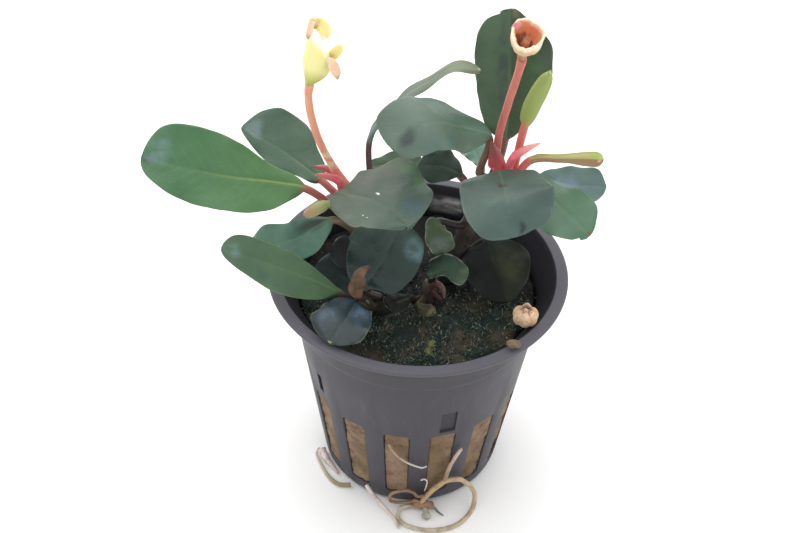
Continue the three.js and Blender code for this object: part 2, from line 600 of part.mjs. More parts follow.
// Roots that leave the pot by its slots and lie on the table around its foot. Each has its radius at
// either end.
const ROOTS = {
  root_big_loop: {
    radius: [0.5, 0.38],
    points: [
      [3.1, -18.6, 3.7], [5.5, -18.4, 7.1], [6.9, -18.2, 8.5], [8.6, -17.6, 8.3], [10.2, -16.6, 6.7],
      [12.6, -16.6, 3.1], [12.4, -18.4, 0.6], [9.7, -21.9, 0.5], [6, -23.4, 0.5], [2, -23.4, 0.5],
      [-0.8, -22.3, 0.5], [-1.6, -21.2, 0.5], [-1.3, -19, 0.7],
    ],
  },
  root_climbing: {
    radius: [0.42, 0.32],
    points: [[6.9, -18.1, 9.8], [7.5, -18.2, 13.1], [8.9, -18.1, 17.2], [9.2, -18.1, 17.9]],
  },
  root_pale: {
    radius: [0.4, 0.15],
    points: [
      [-7.9, -16.9, 4.2], [-6.3, -17.9, 2.3], [-3.1, -20.9, 1.2], [-2.3, -21.9, 0.8], [-1.5, -23.6, 0.4],
    ],
  },
  root_small_ring: {
    radius: [0.31, 0.31],
    points: [
      [1.8, -19, 3.4], [0.5, -18.9, 2.4], [-1.4, -18.8, 1.9], [-3.1, -18.7, 2.1], [-3.4, -18.8, 3.3],
      [-2.9, -18.9, 4.8], [-0.3, -19.3, 6.5], [0.9, -19.3, 6.1], [1.9, -19.2, 4.6],
    ],
  },
  root_mass: { radius: [0.8, 0.7], points: [[1.7, -18.7, 1.5], [2.9, -18.65, 1.8], [4.2, -18.5, 1.5]] },
  root_spike: { radius: [0.35, 0.1], points: [[5.2, -18.9, 0.8], [5.8, -19.5, 0.6], [6.9, -20.2, 0.4]] },
  root_hook: {
    radius: [0.2, 0.2],
    points: [[2.3, -18.9, 9.3], [2.9, -18.9, 9.6], [3.4, -18.8, 9], [3.3, -18.6, 6.8], [3.1, -18.5, 5.6]],
  },
  root_left_loop: {
    radius: [0.25, 0.45],
    points: [
      [-18.6, -7, 0.6], [-17.7, -9.1, 0.5], [-15.3, -12.9, 0.5], [-13.6, -14.2, 0.5], [-12.6, -14.4, 0.5],
      [-11.2, -14.4, 0.7],
    ],
  },
  root_left_strip: {
    radius: [0.8, 0.15],
    points: [[-17.5, -6.6, 1.2], [-16.4, -8.5, 0.9], [-15, -10.2, 0.6], [-13.8, -11.6, 0.4]],
  },
  root_slot_thread: {
    radius: [0.22, 0.18],
    points: [
      [-3.7, -20.2, 21], [-3, -20.1, 18.9], [-0.8, -19.9, 15.9], [1.4, -19.6, 14.2], [2.4, -19.5, 13.8],
      [3.2, -19.3, 14],
    ],
  },
};

const rootTube = ({ radius, points }) =>
  tube(vectors(points), (t) => THREE.MathUtils.lerp(...radius, t), 2 * points.length, 6);

// A small rough lump of dead matter, with the given half-sizes.
function lump(centre, halves) {
  const ball = new THREE.IcosahedronGeometry(1, 1);
  const position = ball.attributes.position;
  const p = new THREE.Vector3();
  for (let i = 0; i < position.count; i++) {
    p.fromBufferAttribute(position, i);
    p.multiplyScalar(1 + 0.14 * Math.sin(5 * p.x + 2) * Math.sin(4 * p.y) + 0.08 * Math.sin(7 * p.z));
    p.multiply(halves).add(centre);
    position.setXYZ(i, p.x, p.y, p.z);
  }
  return ball;
}

const LUMPS = [
  { name: 'root_nub', centre: [3.7, -20.6, 0.75], halves: [0.85, 0.9, 0.7], finish: 'root' },
  { name: 'dried_flower', centre: [18, -12.2, 45.8], halves: [2.1, 1.9, 1.8], finish: 'dried' },
  { name: 'dried_crumb', centre: [15.7, -19.4, 46.4], halves: [1.2, 0.8, 0.5], finish: 'dried' },
];

add('net_pot', netPot(), 'pot');
add('wool_plug', woolPlug(), 'plug');
add('moss', mossCap(), 'moss');
for (const [name, stem] of Object.entries(STEMS)) add(name, stemTube(stem), 'stem');
for (const [name, leaf] of Object.entries(LEAVES)) add(name, leafSolid(leaf), leaf.finish ?? 'leaf');
for (const [name, scale] of Object.entries(SCALES)) add(name, scaleSolid(scale), 'stalk');
for (const [name, stalk] of Object.entries(FLOWER_STALKS)) add(name, flowerStalk(stalk), 'stalk');
for (const [name, flower] of Object.entries(SPATHES)) add(name, spathe(flower), 'spathe');
for (const [name, points] of Object.entries(SPADICES)) {
  add(name, tube(vectors(points), () => SPADIX_RADIUS, 4, 8), 'dried');
}
for (const [name, root] of Object.entries(ROOTS)) add(name, rootTube(root), 'root');
add('dried_bract', leafSolid(DRIED_BRACT), 'dried');
for (const { name, centre, halves, finish } of LUMPS) {
  add(name, lump(new THREE.Vector3(...centre), new THREE.Vector3(...halves)), finish);
}

export default part;
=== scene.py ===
import math

import bmesh
import bpy
import numpy as np
from mathutils import Matrix, Vector, noise


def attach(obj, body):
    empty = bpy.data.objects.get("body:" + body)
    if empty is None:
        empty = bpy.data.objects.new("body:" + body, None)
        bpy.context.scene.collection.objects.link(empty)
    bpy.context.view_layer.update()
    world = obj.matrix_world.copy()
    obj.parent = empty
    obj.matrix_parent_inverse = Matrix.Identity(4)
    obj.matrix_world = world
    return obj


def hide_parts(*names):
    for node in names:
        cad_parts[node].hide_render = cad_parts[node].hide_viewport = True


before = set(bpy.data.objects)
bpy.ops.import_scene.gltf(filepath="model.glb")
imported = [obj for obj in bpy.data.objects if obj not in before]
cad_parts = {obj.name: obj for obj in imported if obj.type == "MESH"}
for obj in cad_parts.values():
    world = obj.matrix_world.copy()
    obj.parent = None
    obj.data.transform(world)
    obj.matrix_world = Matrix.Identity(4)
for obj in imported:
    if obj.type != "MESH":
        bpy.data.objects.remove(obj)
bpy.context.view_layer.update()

MM = 0.001

# Camera
IMAGE_WIDTH = 800
FOCAL_PIXELS = 965.69
SENSOR = 36
CAMERA_PLACE = (0, -127.40, 155.47)
CAMERA_RIGHT = (0.99884, 0.04318, 0.02150)
CAMERA_UP = (-0.04455, 0.65492, 0.75439)
CAMERA_AHEAD = (-0.01850, 0.75447, -0.65608)

# Light, in metres and watts
LAMP_PLACE = (-0.15, 0.25, 0.85)
LAMP_AIM = (0, 0, 0.05)
LAMP_SIZE = 1.1
LAMP_POWER = 3.5
GROUND_REACH = 4

# Pot
POT_HEIGHT = 45.5
LIP_RADIUS = 26.2
LIP_INNER_RADIUS = 23.9
LIP_DEPTH = 3.1
WALL_TOP_RADIUS = 22.4
BASE_RADIUS = 17.3
WALL_SLOPE = (WALL_TOP_RADIUS - BASE_RADIUS) / (POT_HEIGHT - LIP_DEPTH)
WALL = 1.0
FLOOR = 1.2
STEP_RING_HEIGHT = 37
SLOT_COUNT = 15
SLOT_SPACING = 360 / SLOT_COUNT
SLOT_TURN = 17
SLOT_BOTTOM = 3.6
SLOT_TOP = 22.6
SLOT_ANGLE = 13.4
SLOT_CORNER = 0.8
CELL_BOTTOM = 1.8
CELL_TOP = 36.4
DRAIN_HOLES = 5
DRAIN_RADIUS = 2.4
DRAIN_CIRCLE = 9.5
# Shallow recesses in the wall: lower and upper edge, width and place round the wall in degrees.
RECESSES = [(23.6, 29.4, 8, 18.5), (25.4, 30, 3.4, -52)]
RECESS_DEPTH = 0.4
RECESS_FLARE = 0.05
# Steps of the mesh: in each corner of a slot, down its sides, over its ends, and round an edge of the pot.
CORNER_STEPS = 4
SIDE_STEPS = 12
END_STEPS = 8
EASING_STEPS = 3

# Filling
GAP = 0.3
PLUG_TOP = 38.5
WOOL_SWELL = 1.1
WOOL_FIBRES = 2200
MOSS_RIM_HEIGHT = 40.6
MOSS_SHOOTS = 13000
STRAND_TAPER_FROM = 0.85
# Bare and stained places on the moss: x, y, reach and colour.
PATCHES = [
    (2.6, -17, 1, (132, 134, 84)),
    (2.8, -15.6, 0.8, (132, 134, 84)),
    (-6.6, -18, 2.2, (84, 70, 60)),
    (14.6, -13, 2.8, (84, 74, 58)),
    (10.4, -5, 3, (72, 66, 50)),
]
# Mounds in the moss: x, y, how far they spread and how high they rise.
MOUNDS = [
    (6, -12, 7, 2.2),
    (-6, -10, 6, 1.4),
    (13, 0, 6, 1.6),
    (-2, 4, 8, 0.8),
    (-12, 4, 5, 0.9),
    (16, -8, 4, 1.4),
]

# Plant
STALK_RADIUS = 0.65
FLOWER_STALK_RADIUS = 0.62
SPADIX_RADIUS = 0.65
# How far a stalk starts from its stem's skin, how far its foot reaches in and how far it runs straight.
STALK_GAP = 1.5 * GAP
STALK_SUNK = 0.5
STALK_STRAIGHT = 0.8
FLOWER_STALK_SUNK = 0.6
LEAF_HALF_THICKNESS = 0.3
EDGE_HALF_THICKNESS = 0.12
WAVES = 2.5
WAVE_LAG = 2
BLADE_STEPS = 44
STALK_STEP = 0.5
SCALE_HALF_WIDTHS = (0.7, 0.7, 0.6, 0.4, 0.2)
SPATHE_THICKNESS = 0.35
SPATHE_STEPS = 34
SPATHE_SIDES = 84
BALL_FINENESS = 4
# A mark on a blade that is no stronger than this is broken up.
WHOLE_MARK = 0.85


def wall_radius(z):
    return BASE_RADIUS + WALL_SLOPE * z


def smooth(x, low, high):
    t = np.clip((np.asarray(x, float) - low) / (high - low), 0, 1)
    return t * t * (3 - 2 * t)


def unit(v):
    v = np.asarray(v, float)
    return v / np.linalg.norm(v, axis=-1, keepdims=True)


def rough(points, size, seed=0.0):
    """Smooth noise between about -1 and 1 at each point, with bumps of about the given size."""
    shift = Vector((seed, 0.7 * seed, -seed))
    points = np.asarray(points, float)
    flat = [noise.noise(Vector(p) / size + shift) for p in points.reshape(-1, 3)]
    return np.array(flat).reshape(points.shape[:-1])


def round_axis(radius, angle, z):
    """Points at an angle in radians round the pot's axis, some way out and up."""
    return np.stack([radius * np.cos(angle), radius * np.sin(angle), z + 0 * angle], -1)


# Meshes
def link(name, data):
    made = bpy.data.objects.new(name, data)
    bpy.context.scene.collection.objects.link(made)
    return made


def make_piece(name, shape, material, replaces=(), sharp=None):
    """A smooth piece of the plant or pot from (points in mm, faces, attributes)."""
    points, faces, attributes = shape
    mesh = bpy.data.meshes.new(name)
    mesh.from_pydata((np.asarray(points, float) * MM).tolist(), [], faces)
    for key, values in attributes.items():
        layer = mesh.attributes.new(key, "FLOAT_VECTOR", "POINT")
        layer.data.foreach_set("vector", np.asarray(values, np.float32).ravel())
    mesh.polygons.foreach_set("use_smooth", [True] * len(mesh.polygons))
    if sharp:
        mesh.set_sharp_from_angle(angle=math.radians(sharp))
    mesh.materials.append(material)
    piece = link(name, mesh)
    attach(piece, "root")
    if replaces:
        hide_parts(*replaces)


def quads(loops, around):
    """Faces between neighbouring closed loops of points, numbered loop by loop."""
    faces = []
    for a in range(0, (loops - 1) * around, around):
        for k in range(around):
            n = (k + 1) % around
            faces.append((a + k, a + n, a + around + n, a + around + k))
    return faces


def loft(rings, last=None):
    """Points and faces of a closed skin over rings of points, with a fan at each end."""
    rings = np.asarray(rings, float)
    count, around, _ = rings.shape
    last = rings[-1].mean(0) if last is None else last
    points = np.vstack([[rings[0].mean(0)], rings.reshape(-1, 3), [last]])
    faces = [tuple(i + 1 for i in face) for face in quads(count, around)]
    top = 1 + (count - 1) * around
    for k in range(around):
        n = (k + 1) % around
        faces += [(0, 1 + n, 1 + k), (top + k, top + n, len(points) - 1)]
    return points, faces


def with_ends(values):
    """Values given ring by ring, with a value for the point at each end."""
    values = np.asarray(values, float)
    return np.vstack([values[0].mean(0), values.reshape(-1, 3), values[-1].mean(0)])


def joined(parts):
    """Several shapes as one."""
    points, faces, attributes = [], [], {}
    start = 0
    for its_points, its_faces, its_attributes in parts:
        points.append(its_points)
        faces += [tuple(i + start for i in face) for face in its_faces]
        for key, values in its_attributes.items():
            attributes.setdefault(key, []).append(values)
        start += len(its_points)
    return np.vstack(points), faces, {key: np.vstack(values) for key, values in attributes.items()}


class Curve:
    """A centripetal Catmull-Rom curve through points, measured by its length from 0 to 1."""

    FINENESS = 60

    def __init__(self, points):
        points = np.asarray(points, float)
        ends = [2 * points[0] - points[1], *points, 2 * points[-1] - points[-2]]
        spans = [self.span(ends[i : i + 4]) for i in range(len(points) - 1)]
        self.dense = np.vstack([*spans, points[-1:]])
        steps = np.linalg.norm(np.diff(self.dense, axis=0), axis=1)
        run = np.concatenate([[0], np.cumsum(steps)])
        self.length = run[-1]
        self.share = run / run[-1]

    def span(self, p):
        d = [max(1e-4, np.linalg.norm(p[i + 1] - p[i]) ** 0.5) for i in range(3)]
        t1 = ((p[1] - p[0]) / d[0] - (p[2] - p[0]) / (d[0] + d[1]) + (p[2] - p[1]) / d[1]) * d[1]
        t2 = ((p[2] - p[1]) / d[1] - (p[3] - p[1]) / (d[1] + d[2]) + (p[3] - p[2]) / d[2]) * d[1]
        t = np.linspace(0, 1, self.FINENESS, endpoint=False)[:, None]
        square = -3 * p[1] + 3 * p[2] - 2 * t1 - t2
        cube = 2 * p[1] - 2 * p[2] + t1 + t2
        return p[1] + t1 * t + square * t**2 + cube * t**3

    def share_at(self, point_number):
        return self.share[point_number * self.FINENESS]

    def at(self, u):
        return np.stack([np.interp(u, self.share, self.dense[:, i]) for i in range(3)], -1)

    def along(self, u):
        u = np.asarray(u, float)
        return unit(self.at(np.minimum(1, u + 0.01)) - self.at(np.maximum(0, u - 0.01)))


def tube(points, radius_at, steps, sides, lumps=0.0, lump_size=1.5):
    """A round tube along a smooth curve. lumps makes its radius uneven."""
    curve = Curve(points)
    u = np.linspace(0, 1, steps + 1)
    turn = np.linspace(0, 2 * math.pi, sides, endpoint=False)
    along = curve.along(u)
    normal = np.cross(along[0], [0.3, 0.5, 0.8])
    rings = []
    marks = []
    for centre, way, t in zip(curve.at(u), along, u):
        normal = unit(normal - way * normal.dot(way))
        other = np.cross(way, normal)
        ring = np.outer(np.cos(turn), normal) + np.outer(np.sin(turn), other)
        swell = radius_at(t) * (1 + lumps * rough(centre + ring, lump_size))
        rings.append(centre + ring * swell[:, None])
        marks.append(np.stack([np.cos(turn), np.full(sides, t), np.sin(turn)], -1))
    return *loft(rings), {"blade": with_ends(marks)}


# Materials
def linear(colour):
    """An sRGB colour of 0 to 255 in the linear values that shaders take."""
    c = np.asarray(colour, float) / 255
    c = np.where(c <= 0.04045, c / 12.92, ((c + 0.055) / 1.055) ** 2.4)
    return (*c, 1.0)


class Finish:
    """A material being put together from nodes. Its inputs can be sockets or plain values."""

    SOCKETS = {
        "specular": "Specular IOR Level",
        "coat": "Coat Weight",
        "coat_roughness": "Coat Roughness",
        "flesh": "Subsurface Weight",
        "flesh_depth": "Subsurface Scale",
    }

    def __init__(self, name, **settings):
        self.material = bpy.data.materials.new(name)
        self.material.use_nodes = True
        self.tree = self.material.node_tree
        self.tree.nodes.clear()
        self.shader = self.node("ShaderNodeBsdfPrincipled")
        output = self.node("ShaderNodeOutputMaterial")
        self.tree.links.new(self.shader.outputs[0], output.inputs["Surface"])
        self.object_place = self.node("ShaderNodeTexCoord").outputs["Object"]
        for key, value in settings.items():
            self.plug(self.shader.inputs[self.SOCKETS[key]], value)

    def done(self, colour, roughness, normal=None):
        """The material with its colour, roughness and bumps."""
        self.plug(self.shader.inputs["Base Color"], colour)
        self.plug(self.shader.inputs["Roughness"], roughness)
        if normal is not None:
            self.plug(self.shader.inputs["Normal"], normal)
        return self.material

    def node(self, kind, **settings):
        made = self.tree.nodes.new(kind)
        for key, value in settings.items():
            setattr(made, key, value)
        return made

    def plug(self, socket, value):
        if isinstance(value, bpy.types.NodeSocket):
            self.tree.links.new(value, socket)
        else:
            socket.default_value = value

    def parts(self, vector):
        node = self.node("ShaderNodeSeparateXYZ")
        self.plug(node.inputs[0], vector)
        return node.outputs

    def attribute(self, name):
        return self.node("ShaderNodeAttribute", attribute_name=name).outputs["Vector"]

    def in_mm(self):
        """The place on the object in mm."""
        return self.vector("MULTIPLY", self.object_place, (1 / MM, 1 / MM, 1 / MM))

    def math(self, operation, *values):
        node = self.node("ShaderNodeMath", operation=operation)
        for socket, value in zip(node.inputs, values):
            self.plug(socket, value)
        return node.outputs[0]

    def times(self, a, b):
        return self.math("MULTIPLY", a, b)

    def plus(self, a, b):
        return self.math("ADD", a, b)

    def minus(self, a, b):
        return self.math("SUBTRACT", a, b)

    def vector(self, operation, *values):
        node = self.node("ShaderNodeVectorMath", operation=operation)
        for socket, value in zip(node.inputs, values):
            self.plug(socket, value)
        return node.outputs["Value" if operation == "LENGTH" else "Vector"]

    def fade(self, value, low, high, start=0.0, end=1.0):
        """start where value is at low, end where it is at high, and smooth between."""
        node = self.node("ShaderNodeMapRange", interpolation_type="SMOOTHSTEP")
        for socket, given in zip(node.inputs, (value, low, high, start, end)):
            self.plug(socket, given)
        return node.outputs[0]

    def within(self, value, low, full, full_until, high):
        """1 between the two middle values, fading to 0 at the outer ones."""
        return self.times(self.fade(value, low, full), self.fade(value, high, full_until))

    def noise(self, size, detail=3.0, stretch=(1, 1, 1)):
        """Noise from 0 to 1 with bumps of about the given size in mm."""
        node = self.node("ShaderNodeTexNoise")
        self.plug(node.inputs["Vector"], self.vector("MULTIPLY", self.object_place, stretch))
        node.inputs["Scale"].default_value = 1 / (size * MM)
        node.inputs["Detail"].default_value = detail
        return node.outputs["Fac"]

    def mix(self, share, a, b):
        """Colour a turning into colour b. Plain colours are written as sRGB of 0 to 255."""
        node = self.node("ShaderNodeMix", data_type="RGBA")
        self.plug(node.inputs[0], share)
        for socket, colour in ((node.inputs[6], a), (node.inputs[7], b)):
            self.plug(socket, colour if isinstance(colour, bpy.types.NodeSocket) else linear(colour))
        return node.outputs[2]

    def bump(self, height, distance, under=None):
        """A bumped normal, height being 0 to 1 and distance its full height in mm."""
        node = self.node("ShaderNodeBump")
        node.inputs["Distance"].default_value = distance * MM
        self.plug(node.inputs["Height"], height)
        if under is not None:
            self.plug(node.inputs["Normal"], under)
        return node.outputs[0]


def plastic():
    """Dark moulded plastic, a little purple, with dull patches, fine scratches and dust.

    It carries painted light and shade: a painted highlight along the top of the lip, a painted shadow under
    the lip, painted shade in the recesses, on the sides of the slots and all over the inside, and a painted
    highlight on the inside of the back wall.
    """
    f = Finish("pot_plastic", specular=0.25)
    cloud = f.noise(9, 4)
    scratch = f.noise(1.1, 5, stretch=(1, 1, 0.12))
    dust = f.times(f.fade(f.noise(0.5, 4), 0.62, 0.75), f.fade(f.noise(7, 3), 0.5, 0.72))
    base = f.mix(cloud, (62, 60, 66), (72, 70, 76))
    base = f.mix(f.fade(scratch, 0.6, 0.8, 0, 0.35), base, (98, 95, 102))
    base = f.mix(f.times(dust, 0.5), base, (128, 122, 118))
    place = f.in_mm()
    aside, behind, height = f.parts(place)
    radius = f.vector("LENGTH", f.vector("MULTIPLY", place, (1, 1, 0)))
    wall = f.plus(f.times(height, WALL_SLOPE), BASE_RADIUS)
    # Painted light and shade: the top of the lip is painted lighter, as if lit from above, the wall just
    # under the lip gets a painted shadow, and the recesses and the sides of the slots get painted shade.
    base = f.mix(f.fade(height, 44.4, 45.2, 0, 0.5), base, (104, 103, 112))
    base = f.mix(f.times(f.within(height, 39.8, 41.2, 42.2, 42.6), 0.4), base, (44, 42, 50))
    base = f.mix(f.times(f.fade(f.minus(radius, wall), -0.15, -0.3), 0.6), base, (36, 34, 42))
    # The inside starts at the middle of the wall, which leans out under the lip.
    flare = f.times(f.math("MAXIMUM", f.minus(height, 42), 0), 0.9)
    middle = f.math("MINIMUM", f.plus(f.minus(wall, 0.5 * WALL), flare), LIP_INNER_RADIUS + 0.2)
    inner = f.fade(f.minus(radius, middle), 0.15, -0.15)
    # Painted shade: the inside of the pot is darkened nearly to black.
    base = f.mix(f.times(inner, 0.92), base, (18, 17, 25))
    # A painted highlight: pale streaks on the inside of the back wall.
    painted_back_highlight = f.times(f.fade(behind, 19, 20), f.within(aside, 1, 3, 7, 9))
    painted_back_highlight = f.times(f.times(painted_back_highlight, inner), f.within(height, 40.5, 42, 43, 44))
    painted_back_highlight = f.times(painted_back_highlight, f.fade(f.noise(2.2, 4, stretch=(0.5, 0.5, 1.6)), 0.3, 0.75, 0, 0.7))
    base = f.mix(painted_back_highlight, base, (180, 178, 176))
    roughness = f.math("MAXIMUM", f.fade(cloud, 0.3, 0.7, 0.42, 0.54), f.times(inner, 0.9))
    return f.done(base, roughness, f.bump(scratch, 0.05, f.bump(f.noise(0.35, 2), 0.03)))


def leaf_marks(f, body, across, share, marks):
    """A blade's colour with its marks, which have uneven edges."""
    wobble = f.minus(f.times(f.noise(5, 2), 0.5), 0.25)
    place = f.node("ShaderNodeCombineXYZ")
    f.plug(place.inputs[0], f.plus(across, wobble))
    f.plug(place.inputs[1], f.plus(share, f.times(wobble, 0.5)))
    broken = f.fade(f.noise(2.4, 4), 0.35, 0.6, 0.25, 1)
    for at_share, at_across, length, breadth, colour, strength in marks:
        offset = f.vector("SUBTRACT", place.outputs[0], (at_across, at_share, 0))
        size = f.vector("LENGTH", f.vector("MULTIPLY", offset, (1 / breadth, 1 / length, 0)))
        spread = f.fade(size, 1, 0.25, 0, strength)
        body = f.mix(spread if strength > WHOLE_MARK else f.times(spread, broken), body, colour)
    return body


def leaf_finish(name, upper, far=None, shade=(30, 52, 40), other_half=None, marks=(), rib=(120, 150, 95),
                rib_strength=0.2, margin=(126, 142, 112), margin_from=0.95, margin_strength=0.3,
                under=(96, 118, 92), stalk=(120, 100, 80), stalk_reach=0.06, gloss=0.42, specular=0.5,
                coat=0.12):
    """A leathery blade: waxy green with a paler midrib, faint side veins, thin margin and plain underside.

    upper turns into far towards the tip, other_half is the colour on one side of the midrib, and shade
    clouds them. margin_from is how far across the margin starts.
    """
    f = Finish(name, specular=specular, coat=coat, coat_roughness=0.3)
    across, share, side = f.parts(f.attribute("blade"))
    lateral, run, _ = f.parts(f.attribute("span"))
    away = f.math("ABSOLUTE", lateral)
    edge = f.math("ABSOLUTE", across)
    body = f.mix(f.fade(share, 0.1, 0.95), upper, far or upper)
    if other_half:
        body = f.mix(f.fade(across, -0.06, 0.06), body, other_half)
    body = f.mix(f.fade(f.noise(4, 4), 0.3, 0.75, 0, 0.4), body, shade)
    body = leaf_marks(f, body, across, share, marks)
    rib_line = f.times(f.fade(away, 0.3, 0.05), f.fade(share, 0.8, 0.1))
    body = f.mix(f.times(rib_line, rib_strength), body, rib)
    normal = f.bump(f.noise(0.3, 2), 0.015, f.bump(f.noise(2.2, 3), 0.16))
    if rib_strength:
        phase = f.plus(f.minus(run, f.times(away, 0.85)), f.times(f.noise(6, 1), 2.5))
        wave = f.math("SINE", f.times(phase, 2 * math.pi / 1.9))
        vein = f.times(f.fade(wave, 0.55, 1), f.fade(edge, 0.9, 0.5))
        body = f.mix(f.times(vein, 0.06 * rib_strength), body, rib)
        normal = f.bump(vein, -0.005, normal)
    rim = f.fade(edge, margin_from, 0.5 + 0.5 * margin_from, 0, margin_strength)
    body = f.mix(f.times(rim, f.fade(f.noise(1.8, 4), 0.4, 0.62, 0.15, 1)), body, margin)
    body = f.mix(f.fade(side, 0.02, -0.02), body, under)
    body = f.mix(f.fade(share, stalk_reach, -0.03), body, stalk)
    return f.done(body, f.fade(f.noise(3, 3), 0.3, 0.7, gloss - 0.05, gloss + 0.08), normal)


def stalk_finish(name, foot, head, patch=None):
    """A fleshy stalk from its foot colour to its head colour, with faint stripes along it.

    patch is a spot of another colour: how far along, its reach and its colour.
    """
    f = Finish(name, flesh=0.25, flesh_depth=0.6 * MM, specular=0.5)
    _, share, _ = f.parts(f.attribute("blade"))
    body = f.mix(f.fade(share, 0.05, 0.95), foot, head)
    if patch:
        at, reach, colour = patch
        nearness = f.fade(f.math("ABSOLUTE", f.minus(share, at)), reach, 0.3 * reach)
        body = f.mix(f.times(nearness, f.fade(f.noise(1.5, 3), 0.35, 0.6)), body, colour)
    body = f.mix(f.fade(f.noise(0.7, 3, stretch=(1, 1, 0.2)), 0.5, 0.75, 0, 0.3), body, (168, 66, 66))
    return f.done(body, 0.42, f.bump(f.noise(0.6, 3, stretch=(1, 1, 0.25)), 0.05))


def spathe_finish(name, foot, body, rim, inside, deep, brown, brown_from=0.85, deep_to=0.3, flesh=0.3):
    """A spathe's thin flesh: coloured from foot to rim, another colour inside, browned where it withers."""
    f = Finish(name, flesh=flesh, flesh_depth=2 * flesh * MM, specular=0.3)
    _, share, side = f.parts(f.attribute("blade"))
    uneven = f.plus(share, f.times(f.minus(f.noise(1.1, 4), 0.5), 0.9))
    inner = f.mix(f.fade(uneven, deep_to, deep_to + 0.2), deep, inside)
    skin = f.mix(f.fade(share, 0.05, 0.45), foot, body)
    skin = f.mix(f.fade(side, 0.05, -0.05), skin, inner)
    skin = f.mix(f.fade(share, 0.75, 0.98), skin, rim)
    skin = f.mix(f.fade(uneven, brown_from, brown_from + 0.2, 0, 0.85), skin, brown)
    skin = f.mix(f.fade(f.noise(0.9, 3, stretch=(1, 1, 0.3)), 0.5, 0.8, 0, 0.25), skin, rim)
    return f.done(skin, 0.5, f.bump(f.noise(0.7, 4, stretch=(1, 1, 0.35)), 0.1))


def dry_finish(name, pale, tan, brown, brown_from=0.55):
    """Dead papery tissue, pale on its ridges and brown in its creases."""
    f = Finish(name, specular=0.25)
    _, share, _ = f.parts(f.attribute("blade"))
    body = f.mix(f.fade(f.noise(1.4, 4), 0.35, 0.65), pale, tan)
    body = f.mix(f.fade(f.noise(0.8, 4), brown_from, brown_from + 0.15, 0, 0.8), body, brown)
    body = f.mix(f.fade(share, 0.82, 0.98, 0, 0.7), body, brown)
    return f.done(body, 0.8, f.bump(f.noise(0.5, 5), 0.12))


def root_finish(name, foot, tip, dark):
    """Wiry root skin, darker in patches, fading along its length."""
    f = Finish(name, flesh=0.2, flesh_depth=0.5 * MM, specular=0.45)
    _, share, _ = f.parts(f.attribute("blade"))
    body = f.mix(f.fade(share, 0.1, 0.9), foot, tip)
    body = f.mix(f.fade(f.noise(1.6, 4), 0.45, 0.7, 0, 0.7), body, dark)
    return f.done(body, f.fade(f.noise(1, 2), 0.3, 0.7, 0.42, 0.62), f.bump(f.noise(0.4, 4), 0.08))


def wool_finish():
    """Matted tan mineral fibre, stained olive, darker and rusty in places."""
    f = Finish("wool", specular=0.15)
    body = f.mix(f.fade(f.noise(3.5, 4), 0.35, 0.65), (144, 122, 101), (124, 103, 86))
    body = f.mix(f.fade(f.noise(12, 2), 0.48, 0.62, 0, 0.6), body, (104, 88, 62))
    body = f.mix(f.fade(f.noise(2.6, 4), 0.58, 0.7, 0, 0.55), body, (92, 74, 62))
    body = f.mix(f.fade(f.noise(1.3, 3), 0.64, 0.74, 0, 0.6), body, (116, 72, 56))
    return f.done(body, 0.9, f.bump(f.noise(0.25, 4, stretch=(1, 1, 2.5)), 0.1))


def strand_finish(name, dark, main, light, light_from=0.85):
    """Fibres or shoots, each of its own tone between dark, main and light."""
    f = Finish(name, specular=0.35)
    tone, share, _ = f.parts(f.attribute("tone"))
    body = f.mix(f.fade(tone, 0.0, 0.5), dark, main)
    body = f.mix(f.fade(tone, light_from, 1.0), body, light)
    return f.done(f.mix(f.fade(share, 0.0, 0.6, 0.6, 0), body, dark), 0.6)


def moss_ground_finish():
    """The wet crumbly ground that the moss grows on, green between brown patches.

    Towards the back, under the plant, it carries painted shade.
    """
    f = Finish("moss_ground", specular=0.15)
    body = f.mix(f.fade(f.noise(4.5, 4), 0.45, 0.66), (34, 44, 41), (78, 68, 56))
    body = f.mix(f.fade(f.noise(1.1, 4), 0.5, 0.72, 0, 0.7), body, (60, 74, 64))
    body = f.mix(f.fade(f.noise(0.7, 3), 0.64, 0.72, 0, 0.8), body, (136, 126, 100))
    place = f.in_mm()
    for x, y, reach, colour in PATCHES:
        off = f.vector("MULTIPLY", f.vector("SUBTRACT", place, (x, y, 0)), (1, 1, 0))
        away = f.plus(f.vector("LENGTH", off), f.times(f.noise(1.1, 4), 1.6 * reach))
        body = f.mix(f.fade(away, 1.9 * reach, 1.1 * reach, 0, 0.7), body, colour)
    # Painted shade: the ground darkens towards the back, under the plant.
    body = f.mix(f.fade(f.parts(place)[1], -9, -1, 0, 0.9), body, (9, 11, 12))
    return f.done(body, f.fade(f.noise(1, 3), 0.3, 0.7, 0.5, 0.8), f.bump(f.noise(0.45, 5), 0.3))


def stem_finish():
    """A creeping stem, dark at its foot and olive at its growing end."""
    f = Finish("stem", specular=0.4)
    _, share, _ = f.parts(f.attribute("blade"))
    body = f.mix(f.fade(share, 0.3, 1), (54, 48, 48), (92, 82, 68))
    body = f.mix(f.fade(f.noise(1.2, 4), 0.45, 0.7, 0, 0.7), body, (40, 36, 38))
    return f.done(body, 0.6, f.bump(f.noise(0.6, 4), 0.15))


